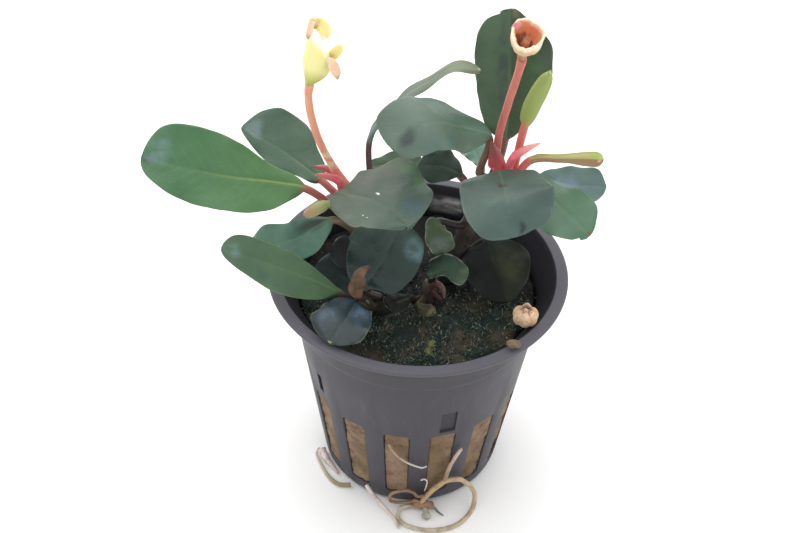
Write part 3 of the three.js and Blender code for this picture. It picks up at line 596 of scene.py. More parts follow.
# Pot
def slot_outline(grow):
    """The rounded outline of a slot as (degrees round the wall, height), grown by some mm all round."""
    middle = (SLOT_BOTTOM + SLOT_TOP) / 2
    mm_per_degree = wall_radius(middle) * math.pi / 180
    corner = SLOT_CORNER + grow
    half = SLOT_ANGLE / 2 * mm_per_degree + grow - corner
    rise = (SLOT_TOP - SLOT_BOTTOM) / 2 + grow - corner
    outline = []
    for x, z, start in ((half, rise, 90), (half, -rise, 0), (-half, -rise, -90), (-half, rise, 180)):
        angle = np.radians(start - np.linspace(0, 90, CORNER_STEPS + 1))
        outline += list(np.stack([x + corner * np.cos(angle), z + corner * np.sin(angle)], -1))
        run, steps = (2 * rise, SIDE_STEPS) if x * z > 0 else (2 * half, END_STEPS)
        heading = math.radians(start - 90)
        onward = np.array([math.sin(heading), -math.cos(heading)])
        outline += [outline[-1] + onward * run * step / steps for step in range(1, steps)]
    outline = np.roll(np.array(outline), -CORNER_STEPS // 2, axis=0)
    return np.stack([outline[:, 0] / mm_per_degree, outline[:, 1] + middle], -1)


def cell_outline():
    """The edge of one slot's share of the wall, point by point with slot_outline."""
    half = SLOT_SPACING / 2
    down = np.linspace(CELL_TOP, CELL_BOTTOM, CORNER_STEPS + SIDE_STEPS + 1)[:-1]
    over = np.linspace(-half, half, CORNER_STEPS + END_STEPS + 1)[:-1]
    right = [(half, z) for z in down]
    bottom = [(-x, CELL_BOTTOM) for x in over]
    left = [(-half, CELL_TOP + CELL_BOTTOM - z) for z in down]
    top = [(x, CELL_TOP) for x in over]
    return np.array(right + bottom + left + top)


def on_wall(outline, depth, turn):
    """Points of the wall at (degrees, height), some depth in from its outer face."""
    degrees, z = outline.T
    return round_axis(wall_radius(z) - depth, np.radians(degrees + turn - 90), z)


def bands(loops):
    """Closed loops of points joined by faces."""
    loops = np.asarray(loops, float)
    count, around, _ = loops.shape
    return loops.reshape(-1, 3), quads(count, around), {}


def wall_cells():
    """The slotted wall, one cell to each slot, with rounded edges round the slot."""
    edge = cell_outline()
    levels = [(edge, 0), (slot_outline(0.2), 0), (slot_outline(0.06), 0.06), (slot_outline(0), 0.22)]
    levels += [(outline, WALL - depth) for outline, depth in reversed(levels)]
    turns = SLOT_TURN + np.arange(SLOT_COUNT) * SLOT_SPACING
    return [bands([on_wall(outline, depth, turn) for outline, depth in levels]) for turn in turns]


def rounded(profile, reach):
    """A line of (radius, height) points with its corners eased over the given reach."""
    profile = [np.array(p, float) for p in profile]
    eased = [profile[0]]
    for before, corner, after in zip(profile, profile[1:], profile[2:]):
        back, on = before - corner, after - corner
        start = corner + unit(back) * min(reach, 0.45 * np.linalg.norm(back))
        end = corner + unit(on) * min(reach, 0.45 * np.linalg.norm(on))
        for t in np.linspace(0, 1, EASING_STEPS + 1):
            eased.append((1 - t) ** 2 * start + 2 * t * (1 - t) * corner + t**2 * end)
    return [*eased, profile[-1]]


def wall_rings(profile, capped=False):
    """Rings round the pot's axis, in step with the edges of the wall's cells."""
    steps = (CORNER_STEPS + END_STEPS) * SLOT_COUNT
    angle = np.radians(SLOT_TURN - SLOT_SPACING / 2 - 90 + np.arange(steps) * 360 / steps)
    points, faces, attributes = bands([round_axis(radius, angle, z) for radius, z in profile])
    if capped:
        faces.append(tuple(range(len(points) - steps, len(points))))
    return points, faces, attributes


def pot_skin():
    """The pot before its floor holes and recesses are cut."""
    step_radius = wall_radius(STEP_RING_HEIGHT)
    lip_bottom = POT_HEIGHT - LIP_DEPTH
    inside = BASE_RADIUS - WALL
    rim = [
        (wall_radius(CELL_TOP), CELL_TOP),
        (step_radius, STEP_RING_HEIGHT),
        (step_radius + 0.35, STEP_RING_HEIGHT + 0.4),
        (WALL_TOP_RADIUS + 0.25, lip_bottom),
        (LIP_RADIUS - 0.6, POT_HEIGHT - 1.3),
        (LIP_RADIUS, POT_HEIGHT - 0.4),
        (LIP_RADIUS - 0.4, POT_HEIGHT),
        (LIP_INNER_RADIUS, POT_HEIGHT - 0.2),
        (WALL_TOP_RADIUS - WALL, lip_bottom - 0.6),
        (wall_radius(CELL_TOP) - WALL, CELL_TOP),
    ]
    foot = [
        (wall_radius(CELL_BOTTOM), CELL_BOTTOM),
        (BASE_RADIUS, 0.8),
        (BASE_RADIUS - 0.8, 0),
        (BASE_RADIUS - 1.6, 0),
    ]
    floor = [(wall_radius(CELL_BOTTOM) - WALL, CELL_BOTTOM), (inside, FLOOR), (inside - 1, FLOOR)]
    below = [wall_rings(rounded(profile, 0.4), capped=True) for profile in (foot, floor)]
    return joined([*wall_cells(), wall_rings(rounded(rim, 0.45)), *below])


def pot_cutter():
    """The holes in the floor and the recesses in the wall, as closed shapes in metres to cut away."""
    cutter = bmesh.new()
    for i in range(DRAIN_HOLES):
        turn = 2 * math.pi * i / DRAIN_HOLES
        place = Vector((math.sin(turn), -math.cos(turn), 0)) * DRAIN_CIRCLE * MM
        radius = DRAIN_RADIUS * MM
        sides = {"segments": 40, "radius1": radius, "radius2": radius, "depth": 4 * FLOOR * MM}
        bmesh.ops.create_cone(cutter, cap_ends=True, matrix=Matrix.Translation(place), **sides)
    for low, high, width, turn in RECESSES:
        middle = (low + high) / 2
        radius = wall_radius(middle)
        size = (2 * radius * math.tan(math.radians(width / 2)), 2 * RECESS_DEPTH, high - low)
        place = Matrix.Translation(Vector((0, -radius, middle)) * MM)
        stand = Matrix.Rotation(math.radians(turn), 4, "Z") @ place
        stand = stand @ Matrix.Rotation(math.atan(WALL_SLOPE), 4, "X")
        for v in bmesh.ops.create_cube(cutter, size=MM)["verts"]:
            flare = 1 + (RECESS_FLARE if v.co.y < 0 else -RECESS_FLARE)
            v.co = stand @ Vector((v.co.x * size[0] * flare, v.co.y * size[1], v.co.z * size[2] * flare))
    return cutter


def working_object(name, made):
    """An object to cut with, or to be cut, its faces turned outward."""
    bmesh.ops.recalc_face_normals(made, faces=made.faces)
    mesh = bpy.data.meshes.new(name)
    made.to_mesh(mesh)
    made.free()
    return link(name, mesh)


def net_pot():
    points, faces, _ = pot_skin()
    mesh = bpy.data.meshes.new("pot_body")
    mesh.from_pydata((points * MM).tolist(), [], faces)
    whole = bmesh.new()
    whole.from_mesh(mesh)
    bmesh.ops.remove_doubles(whole, verts=whole.verts, dist=0.004 * MM)
    body = working_object("pot_body", whole)
    cutter = working_object("pot_cutter", pot_cutter())
    cut = body.modifiers.new("cut", "BOOLEAN")
    cut.operation = "DIFFERENCE"
    cut.solver = "EXACT"
    cut.object = cutter
    shaped = body.evaluated_get(bpy.context.evaluated_depsgraph_get()).to_mesh()
    points = np.array([v.co for v in shaped.vertices]) / MM
    faces = [tuple(p.vertices) for p in shaped.polygons]
    for working in (body, cutter):
        bpy.data.objects.remove(working)
    make_piece("pot", (points, faces, {}), plastic(), ["net_pot"], sharp=40)


# Filling
def strands(places, ways, lengths, radii, bend, random, steps=3):
    """Many thin tapering strands. bend curves each of them away from its way as it goes."""
    count = len(places)
    ways = unit(ways)
    side = unit(np.cross(ways, unit(random.normal(size=(count, 3)))))
    other = np.cross(ways, side)
    lean = side * bend * random.uniform(0.3, 1, (count, 1))
    corners = np.linspace(0, 2 * math.pi, 3, endpoint=False)
    shares = np.linspace(0, STRAND_TAPER_FROM, steps + 1)
    rings = []
    for t in shares:
        centre = places + (ways * t + lean * t**2) * lengths[:, None]
        radius = (radii * (1 - 0.75 * t))[:, None]
        rings.append([centre + radius * (side * math.cos(a) + other * math.sin(a)) for a in corners])
    rings = np.array(rings).transpose(2, 0, 1, 3)
    tips = places + (ways + lean) * lengths[:, None]
    block = 3 * len(shares) + 1
    points = np.concatenate([rings.reshape(count, -1, 3), tips[:, None]], 1).reshape(-1, 3)
    top = 3 * steps
    pattern = [(2, 1, 0), *quads(len(shares), 3)]
    pattern += [(top + k, top + (k + 1) % 3, block - 1) for k in range(3)]
    faces = [tuple(i + s * block for i in face) for s in range(count) for face in pattern]
    tone = np.repeat(random.uniform(size=count), block)
    share = np.tile([*np.repeat(shares, 3), 1], count)
    return points, faces, {"tone": np.stack([tone, share, np.zeros_like(tone)], -1)}


def in_slot(angle, z):
    """Whether a place on the wall lies in a slot, a little clear of its edges."""
    off = (np.degrees(angle) + 90 - SLOT_TURN + SLOT_SPACING / 2) % SLOT_SPACING - SLOT_SPACING / 2
    return (np.abs(off) < SLOT_ANGLE / 2 - 0.2) & (z > SLOT_BOTTOM + 0.08) & (z < SLOT_TOP - 0.08)


def plug_radius(angle, z):
    """The wool's radius: clear of the wall, and swollen into the slots."""
    return wall_radius(z) - (WALL + GAP) + WOOL_SWELL * in_slot(angle, z)


def wool_plug():
    """The mineral wool that fills the pot and swells into its slots, matted."""
    half = SLOT_ANGLE / 2
    inside = np.linspace(0.25 - half, half - 0.25, 22)
    between = np.linspace(half + 0.05, SLOT_SPACING - half - 0.05, 12)
    slots = SLOT_TURN - 90 + SLOT_SPACING * np.arange(SLOT_COUNT)
    angle = np.radians(np.add.outer(slots, [*inside, *between]).ravel())
    heights = [
        *np.linspace(FLOOR + GAP, SLOT_BOTTOM, 4),
        *np.linspace(SLOT_BOTTOM + 0.1, SLOT_TOP - 0.1, 70),
        *np.linspace(SLOT_TOP, PLUG_TOP, 30),
    ]
    rings = []
    for z in heights:
        radius = plug_radius(angle, z)
        ring = round_axis(radius, angle, z)
        dent = 0.15 + 0.3 * rough(ring, 2.6) + 0.18 * rough(ring, 0.9, 5)
        ring[:, :2] *= (1 - np.maximum(0, dent) / radius)[:, None]
        rings.append(ring)
    make_piece("wool", (*loft(rings), {}), wool_finish(), ["wool_plug"])


def wool_fibres():
    """The loose fibres on the wool where it shows."""
    random = np.random.default_rng(4)
    count = WOOL_FIBRES
    z = random.uniform(SLOT_BOTTOM - 1, SLOT_TOP + 1, count)
    turn = random.uniform(0, 2 * math.pi, count)
    radius = plug_radius(turn, z) - random.uniform(0.05, 0.35, count)
    out = round_axis(1, turn, 0)
    tilt = random.normal(0, 0.9, count)[:, None]
    ways = np.cross([0, 0, 1], out) * np.cos(tilt) + np.array([0, 0, 1]) * np.sin(tilt) - 0.04 * out
    lengths = random.uniform(0.8, 2.6, count)
    radii = random.uniform(0.02, 0.05, count)
    fibres = strands(round_axis(radius, turn, z), ways, lengths, radii, 0.2, random)
    finish = strand_finish("wool_fibre", (112, 92, 74), (142, 120, 98), (176, 156, 128))
    make_piece("wool_fibres", fibres, finish)


def moss_height(x, y):
    raised = 0
    for mound_x, mound_y, spread, high in MOUNDS:
        raised = raised + high * np.exp(-((x - mound_x) ** 2 + (y - mound_y) ** 2) / spread**2)
    return MOSS_RIM_HEIGHT + raised + 0.25 * np.sin(1.3 * x) * np.cos(1.1 * y)


def moss_edge():
    """The radius of the moss at its foot."""
    return wall_radius(PLUG_TOP + GAP) - WALL - GAP


def moss_ground():
    """The crumbly ground that the moss grows on."""
    steps = 52
    bottom = PLUG_TOP + GAP
    edge = moss_edge()
    angle = np.linspace(0, 2 * math.pi, 150, endpoint=False)

    def top_ring(radius):
        flat = round_axis(radius, angle, 0)
        crumbs = 0.35 * rough(flat, 1.9) + 0.2 * rough(flat, 0.7, 3) - 0.3
        flat[:, 2] = moss_height(flat[:, 0], flat[:, 1]) + crumbs
        return flat

    rings = [round_axis(edge - 1, angle, bottom), round_axis(edge, angle, bottom + 0.2)]
    rings += [top_ring(edge * (1 - i / steps)) for i in range(steps)]
    make_piece("moss_ground", (*loft(rings), {}), moss_ground_finish(), ["moss"])


def moss_turf():
    """Fine shoots all over the ground but for its patches and the shaded back."""
    random = np.random.default_rng(9)
    count = MOSS_SHOOTS
    radius = moss_edge() * np.sqrt(random.uniform(0, 1, count))
    turn = random.uniform(0, 2 * math.pi, count)
    x, y = radius * np.cos(turn), radius * np.sin(turn)
    bare = rough(np.stack([x, y, 0 * x], -1), 4.2, 8) > random.normal(0.22, 0.12, count)
    for patch_x, patch_y, reach, _ in PATCHES:
        bare |= np.hypot(x - patch_x, y - patch_y) < reach * random.uniform(0, 1.1, count)
    bare |= y > random.normal(-3, 5, count)
    x, y = x[~bare], y[~bare]
    places = np.stack([x, y, moss_height(x, y) - 0.45], -1)
    ways = random.normal(0, 0.6, (len(x), 3)) + np.array([0, 0, 1])
    lengths = random.uniform(0.45, 0.95, len(x))
    shoots = strands(places, ways, lengths, random.uniform(0.06, 0.13, len(x)), 0.7, random, steps=2)
    finish = strand_finish("moss_shoots", (24, 34, 32), (76, 94, 80), (172, 186, 164), 0.7)
    make_piece("moss_turf", shoots, finish)


# Plant
# Each stem's points, radius and number of rings.
STEMS = {
    "stem_left": ([[-3, 0, 39.2], [-6, 1.5, 46], [-9, 2, 53], [-12, 1.5, 59.5]], 1.6, 5),
    "stem_right": ([[4, 1.5, 39.2], [6.5, 2, 47], [9.5, 2.5, 56], [12.4, 2.4, 64]], 1.6, 6),
    "stem_front": ([[-4, -6.5, 39.6], [-6, -8, 42.5], [-9.5, -9.6, 46.2]], 1.5, 3),
    "stem_middle": ([[1.5, -4.5, 39.6], [2, -5, 43], [2.4, -5, 46]], 1.5, 2),
}


def stem_radius(stem, t):
    _, radius, rings = STEMS[stem]
    return radius * (1 + 0.07 * math.cos(2 * math.pi * rings * t)) * (1 - 0.25 * smooth(t, 0.8, 1))


def stems():
    finish = stem_finish()
    for name, (points, _, rings) in STEMS.items():
        shape = tube(points, lambda t: stem_radius(name, t), 16 * rings, 28, lumps=0.06)
        make_piece(name + "_bark", shape, finish, [name])


def stem_end(stem):
    """Where a stalk goes on from the end of its stem, and which way."""
    curve = Curve(STEMS[stem][0])
    return curve.at(1) + curve.along(1) * GAP, curve.along(1)


def growth_point(stem, at, blade, way):
    """Where a stalk leaves its stem and which way: from its end when at is 1, and else from its side."""
    if at == 1:
        return stem_end(stem)
    curve = Curve(STEMS[stem][0])
    centre, along = curve.at(at), curve.along(at)
    out = np.asarray(way if way is not None else np.array(blade[0]) - centre, float)
    out = unit(out - along * out.dot(along))
    return centre + out * (stem_radius(stem, at) + STALK_GAP), out


def half_width(share, widths):
    """A blade's half-width at a share of its length, from widths set closer together towards both ends."""
    place = math.acos(1 - 2 * min(1, share)) / math.pi * (len(widths) + 1)
    before = min(int(place), len(widths))
    a, b, c, d = [-widths[0], 0, *widths, 0, -widths[-1]][before : before + 4]
    t = place - before
    return b + 0.5 * t * (c - a + t * (2 * a - 5 * b + 4 * c - d + t * (3 * (b - c) + d - a)))


# Where the points of a blade's section lie across it: over its upper side, and back under it.
SECTION = np.array([1, 0.97, 0.9, 0.8, 0.68, 0.55, 0.42, 0.3, 0.2, 0.12, 0.06, 0.02])
SECTION = np.concatenate([SECTION, -SECTION[::-1]])
ACROSS = np.concatenate([SECTION, SECTION[-2:0:-1]])
UPPER = np.concatenate([np.ones(len(SECTION)), -np.ones(len(SECTION) - 2)])
UPPER[[0, len(SECTION) - 1]] = 0


def stations(curve, start):
    """How far along the rings of a stalk and its blade lie, and how many of them are the stalk's."""
    stalk_steps = max(2, int(start * curve.length / STALK_STEP)) if start else 0
    eased = 0.5 - 0.5 * np.cos(np.linspace(0, math.pi, BLADE_STEPS + 1)[1:-1])
    shares = np.concatenate([0.75 * eased + 0.25 * np.linspace(0.01, 0.985, BLADE_STEPS - 1), [0.992]])
    along_stalk = np.linspace(0, start, stalk_steps + 1)
    return np.concatenate([along_stalk, start + shares * (1 - start)]), stalk_steps


def blade_skin(points, blade_from, left, right, face, cup=0.12, wave=0.3, thick=1, stalk=STALK_RADIUS,
               rolled=False, nicks=(), seed=0.0, flat_at=0.15):
    """A round stalk that flattens into a blade, as one closed skin. The blade starts at a numbered point.

    left and right are half-widths, and face is the way the upper side looks. cup lifts the margins in a
    round trough and wave ripples them. nicks are bites in the margin: where along, which side, how deep
    and how long. rolled gives the blade a rounded, slightly lopsided section with no groove, keel or pucker.
    The blade is flat from flat_at on.
    """
    curve = Curve(points)
    start = curve.share_at(blade_from)
    places, stalk_steps = stations(curve, start)
    rings, marks, spans = [], [], []
    ways = curve.along(places)
    sides = unit(np.cross(face, ways))
    # Down the stalk each ring is turned like the one above it, so the stalk doesn't twist.
    for i in reversed(range(stalk_steps)):
        sides[i] = unit(sides[i + 1] - ways[i] * sides[i + 1].dot(ways[i]))
    height = np.sqrt(np.maximum(0, 1 - ACROSS**2)) * np.where(UPPER < 0, -1, 1)
    skin = thick * (LEAF_HALF_THICKNESS + (EDGE_HALF_THICKNESS - LEAF_HALF_THICKNESS) * ACROSS**2)
    for centre, along, side, u in zip(curve.at(places), ways, sides, places):
        share = max(0.0, (u - start) / (1 - start))
        flat = float(smooth(share, 0, flat_at))
        widths = np.where(ACROSS > 0, half_width(share, left), half_width(share, right))
        half = np.maximum(stalk * (1 - 0.75 * share), widths)
        reach = half
        for nick_share, nick_side, depth, long in nicks:
            bite = np.exp(-(((share - nick_share) / long) ** 2)) * depth
            reach = reach - bite * (ACROSS * nick_side > 0) * smooth(np.abs(ACROSS), 0.3, 1)
        margin = centre + np.outer(np.sign(ACROSS) * half, side)
        reach = reach * (1 + 0.03 * flat * rough(margin, 2.2, seed))
        phase = WAVES * 2 * math.pi * share + np.where(ACROSS > 0, 0, WAVE_LAG)
        ripple = wave * np.abs(ACROSS) ** 3 * np.sin(phase)
        lift = half * cup * np.abs(ACROSS) ** 1.5
        body = (stalk + (skin - stalk) * flat) * height
        if rolled:
            turn = 1 + 0.16 * flat * np.linspace(-1, 1, len(ACROSS))
            pucker = 0
        else:
            away = np.abs(ACROSS) * half
            groove = 0.13 * np.exp(-((away / 0.3) ** 2)) * (1 - 0.8 * share)
            keel = 0.3 * np.exp(-((away / 0.45) ** 2)) * (1 - share)
            body = body - flat * np.where(UPPER > 0, groove, np.where(UPPER < 0, keel, 0))
            turn = 1
            pucker = 0.12 * flat * rough(centre + np.outer(ACROSS * half, side), 3.4, seed + 3)
        out = body * turn + flat * (lift + ripple + pucker)
        rings.append(centre + np.outer(ACROSS * reach * turn, side) + np.outer(out, np.cross(along, side)))
        known = share if share > 0 or not blade_from else (u - start) / start
        marks.append(np.stack([ACROSS, np.full(len(ACROSS), known), UPPER], -1))
        run = np.full(len(ACROSS), (u - start) * curve.length)
        spans.append(np.stack([ACROSS * half, run, 0 * run], -1))
    return *loft(rings, last=curve.at(1.0)), {"blade": with_ends(marks), "span": with_ends(spans)}


def grown(on, at, blade, left, right, face=(0, -0.5, 0.85), **more):
    """What leaf_skin takes: a leaf's stem, how far up it, its blade's points, half-widths and facing."""
    return {"on": on, "at": at, "blade": blade, "left": left, "right": right, "face": face, **more}


LEAVES = {
    "leaf_far_left": grown(
        "stem_left", 0.86, [[-19, -1, 61.5], [-32, -4, 65.5], [-44, -4, 68.5]], (2.3, 5.1, 5.7, 5, 3),
        (1.6, 3.2, 6.4, 6.8, 5.4), (0.1, -0.6, 0.8), wave=0.35,
    ),
    "leaf_back_left": grown(
        "stem_left", 0.8, [[-17, 6, 58], [-23.9, 11, 60], [-32, 15.5, 62]], (1.6, 2.3, 3.4, 2.4, 1.1),
        (2.3, 4, 6.4, 6.4, 4.3), (0.2, -0.6, 0.8),
    ),
    "leaf_drooping_left": grown(
        "stem_left", 0.68, [[-14.3, -3.2, 56.9], [-20.9, -4.4, 53.3], [-29, -1.6, 49.2]],
        (1.9, 3.6, 3.6, 2.5, 1.5), (0.9, 2.5, 3, 3.3, 1.7), (-0.2, -0.7, 0.7),
    ),
    "leaf_front_left": grown(
        "stem_front", 0.85, [[-12.7, -11, 47.9], [-21, -12, 53.3], [-31.3, -11, 56.7]],
        (1.5, 3.3, 4, 2.9, 1.6), (0.7, 1.8, 3, 3.1, 2.5), (0.2, -0.7, 0.7),
    ),
    "leaf_middle_left": grown(
        "stem_left", 0.93, [[-13.3, -3.5, 62.3], [-6.6, -9, 65.2], [-1.3, -14, 64.6]],
        (3.6, 5.9, 8.9, 7.3, 5.6), (2.4, 4.6, 6.1, 5.2, 1.5), (0, -0.3, 0.95),
        nicks=[(0.965, -1, 0.8, 0.012), (0.7, -1, 0.3, 0.02)], wave=0.45,
    ),
    "leaf_middle_low": grown(
        "stem_front", 0.75, [[-8.4, -11, 49], [-5.5, -7, 52.5], [-3, -5, 58.5]], (3.5, 5.6, 6.6, 6.2, 4.1),
        (3.7, 5.1, 5.8, 5.5, 4), (0, -0.75, 0.65),
    ),
    "leaf_front_small": grown(
        "stem_front", 0.9, [[-9.8, -13.2, 47.7], [-11.2, -17, 47.9], [-13.4, -21, 46.3]],
        (2.8, 3.7, 4.6, 4.2, 2.3), (2.6, 3.8, 4.4, 4.9, 2.8), (0, -0.3, 0.95),
    ),
    "leaf_upper_arch": grown(
        "stem_right", 0.92, [[10.3, 1.8, 70.9], [6.2, 0, 73.5], [0.3, -5, 77.3], [-4.4, -8.5, 74.6]],
        (1.8, 3.8, 5, 4.4, 3), (2, 4, 5.4, 6.2, 5.6), (0, -0.45, 0.9), way=(-1, 0.3, 0), cup=-0.1,
    ),
    "leaf_upper_behind": grown(
        "stem_right", 0.86, [[9.8, 6, 62.5], [8.9, 8, 63.9], [6.8, 10, 65.5]], (1, 1.5, 2.2, 2.2, 1.8),
        (1, 1.5, 2.7, 3.2, 2.4), (0, -0.6, 0.8), cup=0.05,
    ),
    "leaf_thin_arch": grown(
        "stem_left", 0.88,
        [
            [-8.8, 4, 67.5], [-7.6, 4.5, 70.9], [-4, 5, 75.2], [0.6, 5.5, 78.5], [4.4, 5.5, 81],
            [8.4, 5, 80.9],
        ],
        (0.5, 0.7, 1, 1.4, 1), (0.6, 1.6, 1.5, 1.4, 0.9), (-0.45, -0.15, 0.8), stalk=0.5,
    ),
    "leaf_upright": grown(
        "stem_right", 0.92, [[13.3, 6, 68], [13.4, 9, 76.5], [12.4, 10, 89]], (3.1, 4.7, 5.6, 5.5, 4.1),
        (2.1, 4.7, 6.5, 6, 2.3), (0, -0.85, 0.5), way=(0.2, 1, 0), nicks=[(0.975, 1, 1, 0.01)],
    ),
    "leaf_rolled_upright": grown(
        "stem_right", 0.92, [[15.7, 1.8, 73.2], [16.4, 0.4, 78.1], [18.1, -1, 84.5]],
        (0.8, 1.2, 1.3, 1.2, 0.8), (0.8, 1.2, 1.3, 1.2, 0.8), (0, -0.8, 0.6), way=(1, 0, 0), thick=2.4,
        wave=0, rolled=True,
    ),
    "leaf_rolled_right": grown(
        "stem_right", 0.81, [[17, 0, 68.1], [21.5, -1, 69.4], [26.1, -1.5, 69.9], [28.1, -2, 70.2]],
        (0.6, 0.6, 0.7, 1, 1), (0.6, 0.6, 0.7, 1.1, 1.1), (0, -0.8, 0.6), thick=2, wave=0, rolled=True,
    ),
    "leaf_right_round": grown(
        "stem_right", 0.87, [[12, -2.2, 66.8], [13, -9, 67], [15, -13, 63]], (3.9, 6.4, 7.4, 6.8, 4.9),
        (3.3, 6, 7.1, 6.8, 4.7), (0, -0.3, 0.95), nicks=[(0.98, 1, 0.9, 0.012)],
    ),
    "leaf_right_low": grown(
        "stem_right", 0.76, [[17.6, 2, 62.1], [22.6, -2, 60.7], [27.4, -6, 58.2]], (1.7, 2.6, 4.1, 4.5, 2.1),
        (2.9, 4, 5, 4.4, 2.1), nicks=[(0.93, -1, 0.6, 0.02)], wave=0.45,
    ),
    "leaf_far_right": grown(
        "stem_right", 0.74, [[19, 7, 59.6], [25.6, 9, 57.2], [32.3, 11, 55.7]], (0.7, 2.2, 3.3, 3.5, 2.9),
        (3, 3.6, 3.7, 3.3, 1.7),
    ),
    "leaf_dark_middle": grown(
        "stem_right", 0.82, [[6.2, 1, 63.9], [3, 0, 66.2], [-0.7, 0, 66.2]], (0.5, 1.6, 3, 3.2, 1.9),
        (2.1, 3.1, 3.2, 2.6, 1.6), (0, -0.4, 0.9),
    ),
    "leaf_behind_middle": grown(
        "stem_left", 0.76, [[-8.8, 5.5, 60.9], [-4.8, 8, 60.8], [0.1, 9.5, 60.2]], (1.1, 1.6, 2.1, 1.4, 1.4),
        (1.6, 2.2, 2.5, 2.5, 2),
    ),
    "leaf_hanging_middle": grown(
        "stem_right", 0.55, [[2.8, -2, 56.5], [3, -4.5, 56], [4, -6.8, 53.7]], (1, 1.7, 2.2, 2.4, 1.8),
        (1.5, 2, 2.3, 2.2, 1.6), (0.3, -0.7, 0.6), wave=0.4,
    ),
    "leaf_curled_middle": grown(
        "stem_middle", 1, [[2.1, -8.4, 50.4], [4.9, -9.8, 52.9], [8, -11, 52.2]], (1.8, 2.6, 2.6, 2.1, 1.4),
        (0.4, 0.9, 1.1, 1.6, 1.4), (-0.4, -0.5, 0.75), wave=0.35,
    ),
    "leaf_low_dark": grown(
        "stem_middle", 0.5, [[-1.1, -7.6, 44.3], [-2.7, -9.6, 45.4], [-4.9, -12, 46.4]],
        (0.6, 1.1, 1.7, 1.7, 1.5), (0.8, 1.2, 1.6, 1.7, 1.3), wave=0.1,
    ),
    "leaf_low_olive": grown(
        "stem_middle", 0.6, [[0.4, -8.7, 43.9], [1.5, -10.5, 44.8], [3.1, -13, 46.5]],
        (0.4, 0.8, 1.1, 0.9, 0.6), (0.5, 1, 1.4, 1.5, 1.3), wave=0.1,
    ),
    "leaf_old_mossy": grown(
        "stem_right", 0.34, [[11.5, 4, 48], [13.5, -2, 46.5], [15.3, -8, 44.6]], (2.2, 5.6, 5.9, 4.6, 2.1),
        (3.6, 4.7, 5.5, 5, 3), (0, -0.3, 0.95), cup=0.2,
    ),
    "leaf_inside_left": grown(
        "stem_left", 0.3, [[-10.5, -4, 44.5], [-14, -3.8, 45.6], [-17.4, -2.5, 46.6]], (2.5, 3.6, 4, 3.4, 2),
        (2.5, 3.6, 4, 3.4, 2),
    ),
    "leaf_inside_brown": grown(
        "stem_left", 0.45, [[-9.6, -1.4, 48], [-12, -1.8, 49], [-14, -1.6, 51.5]], (1.8, 2.7, 3, 2.5, 1.4),
        (1.8, 2.7, 3, 2.5, 1.4), (0, -0.7, 0.7),
    ),
    "leaf_new_left": grown(
        "stem_left", 0.83, [[-14.9, -3, 60], [-16.8, -4.5, 60.1], [-18.7, -5, 59]], (0.6, 0.9, 1, 0.9, 0.6),
        (0.6, 0.9, 1, 0.9, 0.6), (0, -0.6, 0.8), thick=2, wave=0, rolled=True,
    ),
}

DRIED_BRACT = grown(
    "stem_front", 1,
    [
        [-9.4, -12.4, 48.9], [-9.9, -13, 51.2], [-9.6, -13.4, 53.1], [-9.1, -13.8, 55],
        [-8.3, -14, 56.1], [-7.5, -14.2, 56.9],
    ],
    (0.9, 1.3, 1.3, 0.9, 0.4), (0.9, 1.3, 1.3, 0.9, 0.4), (0.3, -0.7, 0.6), cup=0.5, wave=0,
)

def scale_leaf(on, at, way, blade, widths=SCALE_HALF_WIDTHS, **more):
    """What leaf_skin takes for a scale leaf, which leaves its stem in a stated way."""
    return grown(on, at, blade, widths, widths, (0, -0.6, 0.8), way=way, thick=1.6, wave=0, **more)


# Pink scale leaves that wrap the foot of the flower stalks and the short stem in the middle.
SCALES = {
    "scale_left_upper": scale_leaf(
        "stem_left", 0.91, (-1, 1, 0), [[-14.2, 3.3, 61.5], [-16, 3.3, 62.6], [-18, 3.2, 62.9]],
    ),
    "scale_left_lower": scale_leaf(
        "stem_left", 0.93, (-1, -1, 0), [[-13.4, -0.6, 62.9], [-15.2, -0.8, 63.9], [-17.1, -1.1, 64.4]],
    ),
    "scale_right_upper": scale_leaf(
        "stem_right", 0.97, (-0.6, -1, 0), [[12, -0.2, 66.2], [11.5, -0.2, 68.8], [10.7, 0, 71.3]],
        (1.3, 1.4, 1.1, 0.7, 0.3), cup=-0.4,
    ),
    "scale_right_side": scale_leaf(
        "stem_right", 0.95, (0.8, -1, 0), [[14.2, -0.8, 69], [15.9, -0.6, 70.5], [18.2, 0, 71.5]],
    ),
    "scale_middle": scale_leaf(
        "stem_middle", 0.62, (1, -0.8, 0),
        [[2.4, -7.2, 46.4], [3.4, -8, 48.2], [4.3, -8.8, 47.8], [4.6, -9.6, 46.4]],
        (0.4, 0.5, 0.5, 0.45, 0.3), cup=0, stalk=0.4,
    ),
}

# What the looks of the shaded old leaves and of the young rolled ones have in common.
SHADED = {"specular": 0.15, "coat": 0, "rib_strength": 0.1}
YOUNG = {"rib_strength": 0, "margin_strength": 0}
SHADED_NAMES = (
    "leaf_dark_middle", "leaf_behind_middle", "leaf_hanging_middle", "leaf_curled_middle", "leaf_low_dark",
    "leaf_low_olive", "leaf_old_mossy", "leaf_inside_left", "leaf_inside_brown",
)
YOUNG_NAMES = ("leaf_rolled_upright", "leaf_rolled_right", "leaf_new_left")
